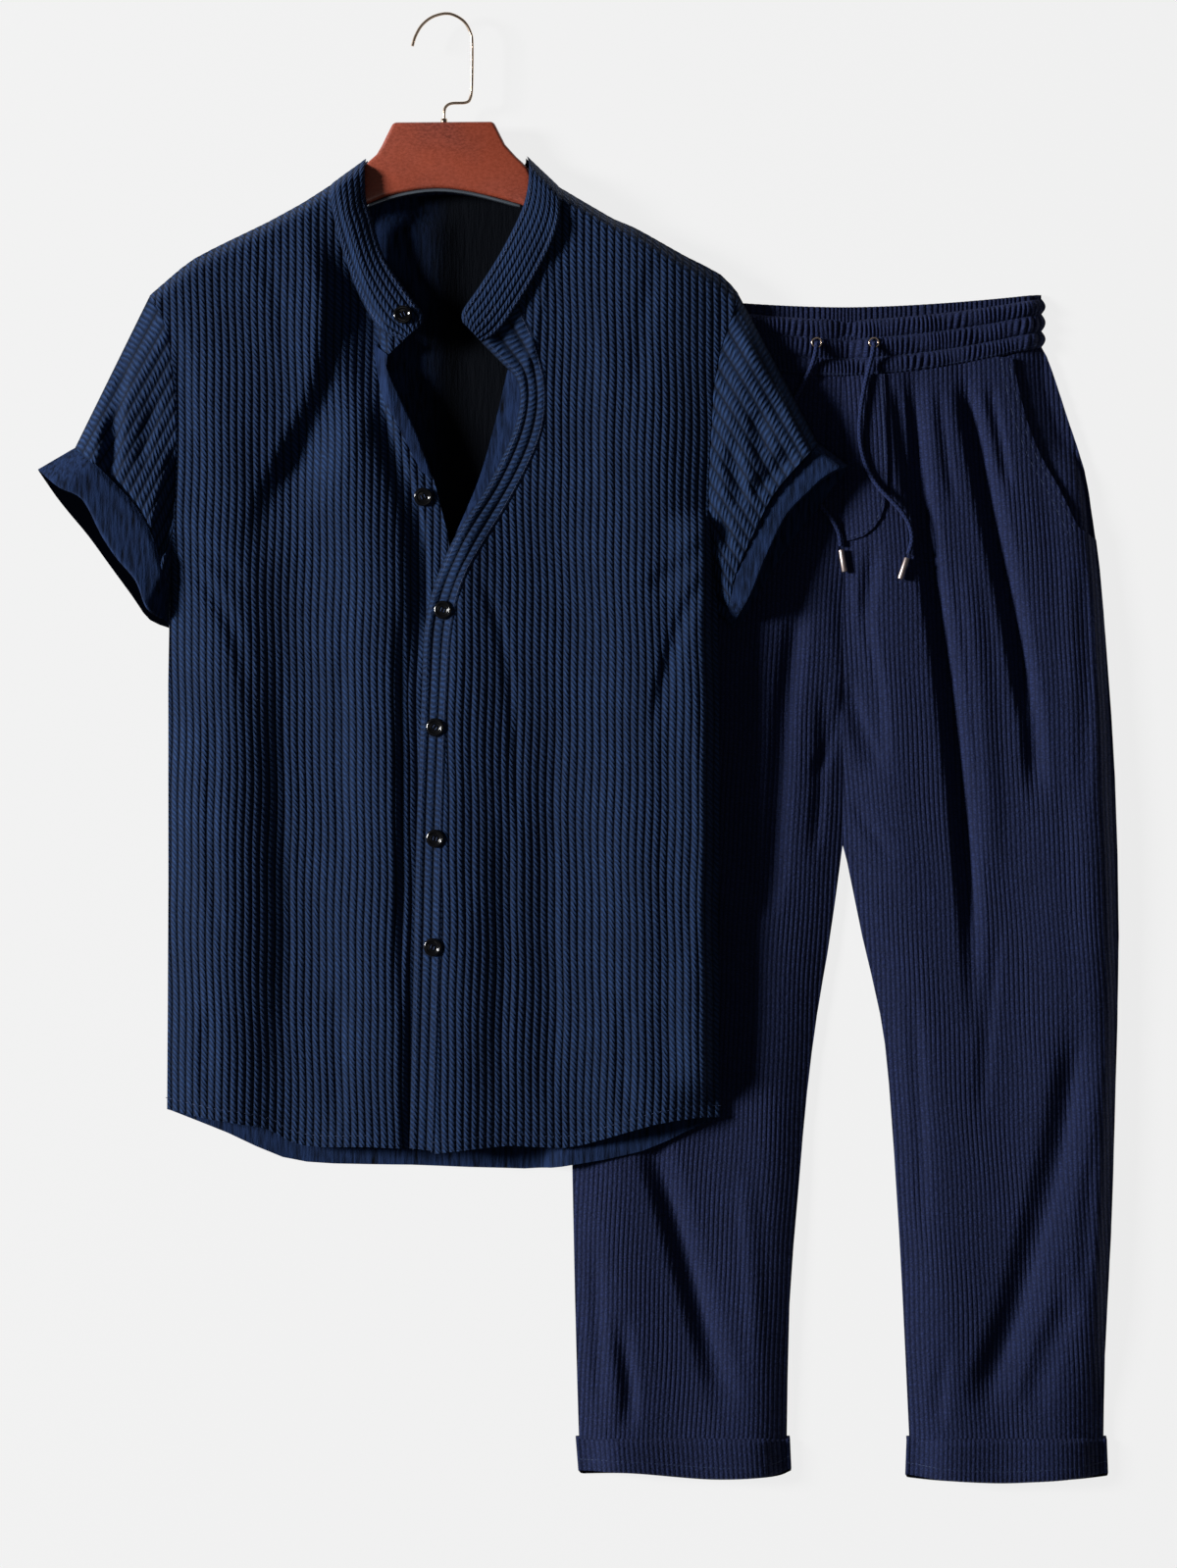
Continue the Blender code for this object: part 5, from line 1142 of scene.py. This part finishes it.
# Polished black polyester resin, which mirrors the light in small, sharp spots.
buttonResin = newMaterial("polishedBlackResin", "#08080a", Roughness=0.12)[0]
threadCotton = newMaterial("navySewingThread", "#283759", Roughness=0.7)[0]
# Pale gold plating on the eyelets, the tips and the hook's wire: a metal with a warm, pinkish tint.
paleGold = newMaterial("paleGoldPlating", "#d9c2ac", Metallic=1.0, Roughness=0.22)[0]
tipMetal = newMaterial("satinTipMetal", "#b9aaa6", Metallic=1.0, Roughness=0.42)[0]
greySteel = newMaterial("greySteelStrip", "#77818c", Metallic=0.85, Roughness=0.4)[0]


# Stained and lacquered hardwood: a reddish brown with short pores along the bar.
def stainedWood(name, look):
    material, tree, shader = newMaterial(name, **{
        "Roughness": 0.38, "Coat Weight": 0.35, "Coat Roughness": 0.15})
    here = addNode(tree, "ShaderNodeTexCoord").outputs["Object"]
    long = addNode(tree, "ShaderNodeMapping", {0: here, "Scale": (0.55, 1.0, 1.0)})
    grain = addNode(tree, "ShaderNodeTexNoise", {
        "Vector": long, "Scale": 620.0, "Detail": 4.0, "Roughness": 0.6})
    broad = addNode(tree, "ShaderNodeTexNoise", {"Vector": here, "Scale": 14.0, "Detail": 2.0})
    share = addNode(tree, "ShaderNodeMapRange", {0: grain, 1: 0.36, 2: 0.62})
    colour = addNode(tree, "ShaderNodeMix", {
        0: share, 6: toLinear(look["pore"]), 7: toLinear(look["wood"])}, data_type="RGBA")
    part = addNode(tree, "ShaderNodeMapRange", {0: broad, 1: 0.4, 2: 0.65})
    part = addNode(tree, "ShaderNodeMath", {0: part, 1: 0.6}, operation="MULTIPLY")
    colour = addNode(tree, "ShaderNodeMix", {
        0: part, 6: colour, 7: toLinear(look["warm"])}, data_type="RGBA")
    tree.links.new(colour.outputs[2], shader.inputs["Base Color"])
    raised(tree, shader, grain, 0.15 * mm)
    return material


hangerLook = {"wood": "#8f4638", "pore": "#632c22", "warm": "#9c4226", "bevel": 3.0,
              "strip": (3.0, 8.0), "stripBevel": 0.5, "ferruleY": 491.3,
              "ferrule": ((2.6, -0.2), (2.6, 2.0), (2.2, 2.6), (1.3, 2.9))}      # radius, distance along
hangerWood = stainedWood("stainedHardwood", hangerLook)


def tubeAlong(name, path, across, sides, material, uvStep=1.0):
    count = len(path)
    run = np.gradient(path, axis=0)
    run /= np.linalg.norm(run, axis=1, keepdims=True)
    up = np.array([0.0, 0.0, 1.0])
    out = np.cross(run, up)
    size = np.linalg.norm(out, axis=1, keepdims=True)
    out = np.where(size > 0.02, out / np.maximum(size, 1e-6), [[1.0, 0.0, 0.0]])
    rise = np.cross(out, run)
    angle = np.arange(sides) * 2 * pi / sides
    ring = np.cos(angle)[None, :, None] * out[:, None] + np.sin(angle)[None, :, None] * rise[:, None]
    verts = (path[:, None] + across / 2 * ring).reshape(-1, 3)
    index = np.arange(count * sides).reshape(count, sides)
    nxt = np.roll(index, -1, axis=1)
    faces = np.stack([index[:-1], index[1:], nxt[1:], nxt[:-1]], axis=-1).reshape(-1, 4).tolist()
    faces += [index[0].tolist(), index[-1][::-1].tolist()]
    uv = np.stack([np.tile(np.arange(sides) / sides, count), np.repeat(lengths(path), sides)], axis=-1)
    obj = makeMesh(name, place(*verts.T), faces, uv, materials=[material])
    faceOut(obj)
    return obj


def lathe(name, profileRows, centreAt, axis, material, sides=32):
    turn = Vector(axis).to_track_quat("Z", "Y").to_matrix()
    verts, faces = [], []
    for radius, height in profileRows:
        for k in range(sides):
            angle = 2 * pi * k / sides
            rim = Vector((radius * math.cos(angle), radius * math.sin(angle), height))
            verts.append(turn @ rim + Vector(centreAt))
    for i in range(len(profileRows) - 1):
        for k in range(sides):
            j = (k + 1) % sides
            faces.append((i * sides + k, i * sides + j, (i + 1) * sides + j, (i + 1) * sides + k))
    faces += [tuple(range(sides))[::-1], tuple(range(len(verts) - sides, len(verts)))]
    obj = makeMesh(name, place(*np.array([tuple(v) for v in verts]).T), faces, materials=[material])
    faceOut(obj)
    return obj


def makeCords():
    braid = braidedCord("braidedNavyCord", cordLook)
    for side, knots in (("right", cordRight), ("left", cordLeft)):
        path, across = evenly(knots, 150), cordLook["across"]
        piece = tubeAlong("drawstring" + side.capitalize(), path, across, cordLook["sides"], braid)
        dress(piece, "cord", "drawstring_" + side)
        start, end = (np.array(knot) for knot in tips[side])
        size = float(np.linalg.norm(end - start))
        half = tip / 2
        rows = [(0.7 * half, 0), (0.95 * half, 0.2), (half, 0.6), (half, size - 0.6),
                (0.93 * half, size - 0.2), (0.7 * half, size)]
        tipPiece = lathe("tip" + side.capitalize(), rows, start, end - start, tipMetal)
        dress(tipPiece, "pale gold", "tip_" + side)
        inMetres = place(*path.T)
        where = eyelets[side]
        wire = eyeletWire / 2
        ring = [(eyeletOuter / 2 - wire + wire * math.cos(a), wire * math.sin(a))
                for a in np.linspace(0, 2 * pi, 13)]
        eyelet = lathe("eyelet" + side.capitalize(), ring[:-1] + ring[:1], (where.x, where.y, eyeletHeight),
                       (0, 0, 1), paleGold, sides=40)
        bm = bmesh.new()
        bm.from_mesh(eyelet.data)
        bmesh.ops.delete(bm, geom=[face for face in bm.faces if len(face.verts) > 4], context="FACES_ONLY")
        bmesh.ops.remove_doubles(bm, verts=bm.verts, dist=1e-6)
        bm.to_mesh(eyelet.data)
        bm.free()
        dress(eyelet, "pale gold", "eyelet_" + side)


def heightOn(objects, x, y):
    best = None
    for obj in objects:
        hit, where, _, _ = obj.ray_cast(Vector(place(x, y, 200.0)), Vector((0, 0, -1)))
        if hit and (best is None or where.z > best):
            best = where.z
    return best


buttonLook = {"sides": 48, "hole": 0.95, "holesOut": 1.9, "thread": 0.55, "on": {
    "collar": ("collarRight",), "right": ("shirtFrontRight",), "lap": ("placket", "shirtFrontLeft")}}


# From the middle of its top to the middle of its back: shares of its half width and of its thickness.
buttonProfile = ((0.05, 0.58), (0.5, 0.6), (0.6, 0.68), (0.68, 0.9), (0.76, 1.0), (0.88, 0.98),
                 (0.97, 0.86), (1.0, 0.7), (0.98, 0.45), (0.9, 0.1), (0.84, 0.0), (0.05, 0.0))


def makeButtons():
    half = buttonAcross / 2
    for number, button in enumerate(buttons, 1):
        on = [bpy.data.objects[name] for name in buttonLook["on"][button.piece]]
        spots = [(button.x + half * part * math.cos(a), button.y + half * part * math.sin(a))
                 for part in (0.45, 0.9) for a in np.arange(12) * 2 * pi / 12]
        rests = [(x, y, heightOn(on, x, y)) for x, y in spots]
        rests = np.array([(x - button.x, y - button.y, z / mm) for x, y, z in rests if z is not None])
        tilt = np.linalg.lstsq(np.c_[rests[:, :2], np.ones(len(rests))], rests[:, 2], rcond=None)[0]
        up = Vector((-tilt[0], -tilt[1], 1.0)).normalized()
        base = tilt[2] + max(0.0, float((rests[:, 2] - rests[:, :2] @ tilt[:2] - tilt[2]).max())) - 0.5
        rows = [(r * half, h * buttonThick) for r, h in buttonProfile]
        foot = Vector((button.x, button.y, base))
        piece = lathe(f"button{number}", rows, foot, up, buttonResin, buttonLook["sides"])
        turn = up.to_track_quat("Z", "Y").to_matrix()
        drills, threads, holes = [], [], []
        rows = [(buttonLook["hole"], -3.0), (buttonLook["hole"], 6.0)]
        for k in range(4):
            angle = button.turn + 2 * pi * k / 4
            out = buttonLook["holesOut"] * Vector((math.cos(angle), math.sin(angle), 0))
            holes.append(foot + turn @ out)
            drills.append(lathe("drill", rows, holes[-1], up, buttonResin, 12))
        drill = joined("drills", drills)
        cut = piece.modifiers.new("holes", "BOOLEAN")
        cut.object = drill
        cut.solver = "EXACT"
        settle(piece)
        bpy.data.objects.remove(drill)
        dress(piece, "button", f"button_{number}")
        for a, b in ((0, 1), (2, 3)):
            level = up * (0.66 * buttonThick)
            low = up * (0.2 * buttonThick)
            path = [holes[a] + low, holes[a] + level, (holes[a] + holes[b]) / 2 + level * 1.08,
                    holes[b] + level, holes[b] + low]
            path = evenly([tuple(p) for p in path], 14)
            threads.append(tubeAlong("thread", path, buttonLook["thread"], 6, threadCotton))
        thread = joined(f"buttonThread{number}", threads)
        smooth(thread)
        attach(thread, "root")


def joined(name, objects):
    bm = bmesh.new()
    materials = list(objects[0].data.materials)
    for obj in objects:
        bm.from_mesh(obj.data)
    mesh = bpy.data.meshes.new(name)
    bm.to_mesh(mesh)
    bm.free()
    for material in materials:
        mesh.materials.append(material)
    for obj in objects:
        bpy.data.objects.remove(obj)
    return added(name, mesh)


def hangerHeight(x):
    return hangerSeat + hangerRise * (x - hangerStart)


def plate(name, outline, low, high, material, bevel, segments):
    xs, ys = np.array(outline).T
    verts = np.concatenate([place(xs, ys, hangerHeight(xs) + low), place(xs, ys, hangerHeight(xs) + high)])
    n = len(outline)
    faces = [tuple(range(n))[::-1], tuple(range(n, 2 * n))]
    faces += [(k, (k + 1) % n, (k + 1) % n + n, k + n) for k in range(n)]
    obj = makeMesh(name, verts, faces, materials=[material])
    faceOut(obj)
    rounding = obj.modifiers.new("edge", "BEVEL")
    rounding.width = bevel * mm
    rounding.segments = segments
    rounding.limit_method = "ANGLE"
    rounding.angle_limit = math.radians(60)
    return settle(obj)


def makeHanger():
    outline = spline(hangerTop[:8]) + [tuple(p) for p in hangerTop[8:10]] + spline(hangerTop[10:])
    outline += spline(hangerLow)
    bar = plate("hangerBar", outline, 0.0, hangerThick, hangerWood, hangerLook["bevel"], 4)
    dress(bar, "wood", "hanger")
    arc = spline(hangerLow[4:9], 4)
    outline = [(x, y - seam) for x, y in arc] + [(x, y - seam - stripWide) for x, y in arc[::-1]]
    steel = plate("hangerStrip", outline, *hangerLook["strip"], greySteel, hangerLook["stripBevel"], 2)
    dress(steel, "grey metal", "hanger_strip")
    middleHeight = hangerHeight(hook[0].x) + hangerThick / 2
    path = evenly([(p.x, p.y, middleHeight) for p in hook], 140)
    dress(tubeAlong("hookWire", path, hookWire, 16, paleGold), "pale gold", "hook")
    foot = (hook[0].x, hangerLook["ferruleY"], middleHeight)
    dress(lathe("hookFerrule", hangerLook["ferrule"], foot, (0, 1, 0), paleGold, 24), "pale gold")


stitchLook = {"step": 3.0, "long": 2.3, "across": 0.55, "sink": 0.15, "seed": 4, "smoothed": 3,
              "hem": 9, "band": 6}        # how far a hem's line and the waistband's ends are from the edge


# Lines of stitching: a tree lays one short thread after another along its lines.
def stitchTree():
    tree = bpy.data.node_groups.new("stitches", "GeometryNodeTree")
    tree.interface.new_socket("Geometry", in_out="INPUT", socket_type="NodeSocketGeometry")
    for name, value in (("Step", stitchLook["step"] * mm), ("Long", stitchLook["long"] * mm),
                        ("Across", stitchLook["across"] * mm)):
        tree.interface.new_socket(name, in_out="INPUT", socket_type="NodeSocketFloat").default_value = value
    seed = tree.interface.new_socket("Seed", in_out="INPUT", socket_type="NodeSocketInt")
    seed.default_value = stitchLook["seed"]
    tree.interface.new_socket("Thread", in_out="INPUT", socket_type="NodeSocketMaterial")
    tree.interface.new_socket("Geometry", in_out="OUTPUT", socket_type="NodeSocketGeometry")
    given = addNode(tree, "NodeGroupInput")
    line = addNode(tree, "GeometryNodeMeshToCurve", {0: given.outputs["Geometry"]})
    even = addNode(tree, "GeometryNodeResampleCurve", {"Curve": line, "Length": given.outputs["Step"]},
                   mode="LENGTH")
    radius = addNode(tree, "ShaderNodeMath", {0: given.outputs["Across"], 1: 0.5}, operation="MULTIPLY")
    one = addNode(tree, "GeometryNodeMeshCylinder", {"Vertices": 6, "Side Segments": 2, "Radius": radius,
                                                    "Depth": given.outputs["Long"]}, fill_type="NGON")
    tangent = addNode(tree, "GeometryNodeInputTangent")
    turned = addNode(tree, "FunctionNodeAlignRotationToVector", {"Vector": tangent}, axis="Z")
    size = addNode(tree, "FunctionNodeRandomValue", {2: 0.85, 3: 1.1, "Seed": given.outputs["Seed"]},
                   data_type="FLOAT")
    placed = addNode(tree, "GeometryNodeInstanceOnPoints", {
        "Points": even, "Instance": one, "Rotation": turned, "Scale": size.outputs[1]})
    real = addNode(tree, "GeometryNodeRealizeInstances", {0: placed})
    done = addNode(tree, "GeometryNodeSetMaterial", {0: real, "Material": given.outputs["Thread"]})
    addNode(tree, "NodeGroupOutput", {0: done})
    return tree


def stitched(name, tree, lines, ons, slot):
    objects = [bpy.data.objects[on] for on in ons]
    verts, edges = [], []
    for line in lines:
        length = sum(math.dist(a, b) for a, b in zip(line, line[1:]))
        path = evenly(line, max(4, int(length / 1.4)))
        heights = [heightOn(objects, x, y) for x, y in path]
        if sum(h is None for h in heights) > 0.4 * len(heights):
            print("left out a stitch line of", name)
            continue
        known = [i for i, h in enumerate(heights) if h is not None]
        z = np.interp(np.arange(len(path)), known, [heights[i] for i in known])
        reach = stitchLook["smoothed"]
        z = np.array([np.mean(z[max(0, i - reach):i + reach + 1]) for i in range(len(z))])
        first = len(verts)
        verts += place(*path.T, z / mm - stitchLook["sink"]).tolist()
        edges += [(first + i, first + i + 1) for i in range(len(path) - 1)]
    mesh = bpy.data.meshes.new(name)
    mesh.from_pydata(verts, edges, [])
    obj = added(name, mesh)
    lay = obj.modifiers.new("stitches", "NODES")
    lay.node_group = tree
    for item in tree.interface.items_tree:
        if item.name == "Thread":
            lay[item.identifier] = threadCotton
    dress(settle(obj), slot)


def beside(line, gap):
    path = np.array(spline(line, 4))
    run = np.gradient(path, axis=0)
    run /= np.linalg.norm(run, axis=1, keepdims=True)
    return [tuple(p) for p in path + gap * np.stack([-run[:, 1], run[:, 0]], axis=-1)]


holeAt = Point(-69, 339)     # the middle of the collar's buttonhole, whose stitches run round a thin oval


def raisedBy(line, gap):
    return [(p.x, p.y + gap) for p in line]


def makeStitches():
    hem, reach = stitchLook["hem"], bandHalf - stitchLook["band"]
    across = np.linspace(middle - reach, middle + reach, 40)
    band = [[(x, float(bandLine(line, x)) + gap) for x in across]
            for line, gap in zip((*bandLines[1:3], bandLines[0]), (0.0, 0.0, 2.0))]
    hole = [(holeAt.x + 4.125 * math.sin(a) + 1.3 * math.cos(a),
             holeAt.y + 6.225 * math.sin(a) - 0.9 * math.cos(a)) for a in np.linspace(0, 2 * pi, 17)]
    rows = (                                         # name, lines, what they lie on, slot
        ("placketStitches", [beside(frontEdgeLeft, 3.0), beside(placketSeam, -2.5)], ["placket"], "shirt"),
        ("collarStitches", [beside(collarEdgeRight[1:], -3.0), beside(collarSeamRight[1:], 2.2)],
         ["collarRight"], "shirt"),
        ("collarLeftStitches", [beside(collarEdgeLeft[1:], 3.0), beside(collarSeamLeft[1:], -2.2)],
         ["collarLeft"], "shirt"),
        ("shirtHemStitches", [raisedBy(frontHemRight[:-1], hem), raisedBy(frontHemLeft[1:], hem)],
         ["shirtFrontRight", "shirtFrontLeft", "placket"], "shirt"),
        ("waistbandStitches", band, ["waistbandFront"], "trouser"),
        ("trouserStitches", [beside(pocketMouth, -3.0), beside(pocketMouth, -9.0), beside(flyEdge, -2.5)],
         ["trouserFrontLeft", "trouserFrontRight", "flyPiece"], "trouser"),
        ("turnupStitches", [raisedBy(turnupFrontRight, hem), raisedBy(turnupFrontLeft, hem)],
         ["hemTurnupRight", "hemTurnupLeft"], "trouser"),
        ("collarButtonhole", [hole], ["collarLeft"], "shirt"),
    )
    tree = stitchTree()
    for name, lines, ons, kind in rows:
        stitched(name, tree, lines, ons, kind + " cloth")


def makeStage():
    scene = bpy.context.scene
    scene.view_settings.view_transform = "Standard"
    camera = added("camera", bpy.data.cameras.new("camera"))
    camera.data.lens = lightLook["lens"]
    camera.location = lightLook["camera"]             # straight above, as in the photo
    camera.data.clip_start, camera.data.clip_end = 0.1, 20.0
    scene.camera = camera
    corners = [(x, y, -0.0006) for x, y in ((-4, -4), (4, -4), (4, 4), (-4, 4))]
    floor = makeMesh("floor", np.array(corners), [(0, 1, 2, 3)])
    paper = newMaterial("paleFloor", lightLook["floor"], Roughness=0.95, **{
        "Emission Color": lightLook["floorGlow"], "Emission Strength": lightLook["glow"]})[0]
    floor.data.materials[0] = paper
    for name, power, size, where in lightLook["lights"]:
        lamp = bpy.data.lights.new(name, "AREA")
        lamp.energy, lamp.size = power, size
        obj = added(name, lamp)
        obj.location = where
        obj.rotation_euler = (Vector(lightLook["aim"]) - Vector(where)).to_track_quat("-Z", "Y").to_euler()
    world = bpy.data.worlds.new("studio")
    world.use_nodes = True
    world.node_tree.nodes["Background"].inputs[0].default_value = toLinear("#ffffff")
    world.node_tree.nodes["Background"].inputs[1].default_value = lightLook["sky"]
    scene.world = world


lightLook = {
    "floor": "#404040", "floorGlow": "#ffffff", "glow": 0.82, "sky": 0.035, "aim": (0, -0.05, 0),
    "lens": 85.0, "camera": (0.0081, -0.0272, 2.927),
    "lights": (("key", 1270.0, 1.75, (-7.5, 1.2, 3.7)), ("fill", 5.0, 2.4, (0.6, -0.4, 3.2))),
}

makeStage()
makeCords()
print("stage and cords")
makeShirtBack()
makeShirtFronts()
makeShirtStrips()
makeSleeves()
print("shirt")
makeWaistband()
makeTrousers()
print("trousers")
makeButtons()
makeHanger()
print("buttons and hanger")
makeStitches()
print("stitches")
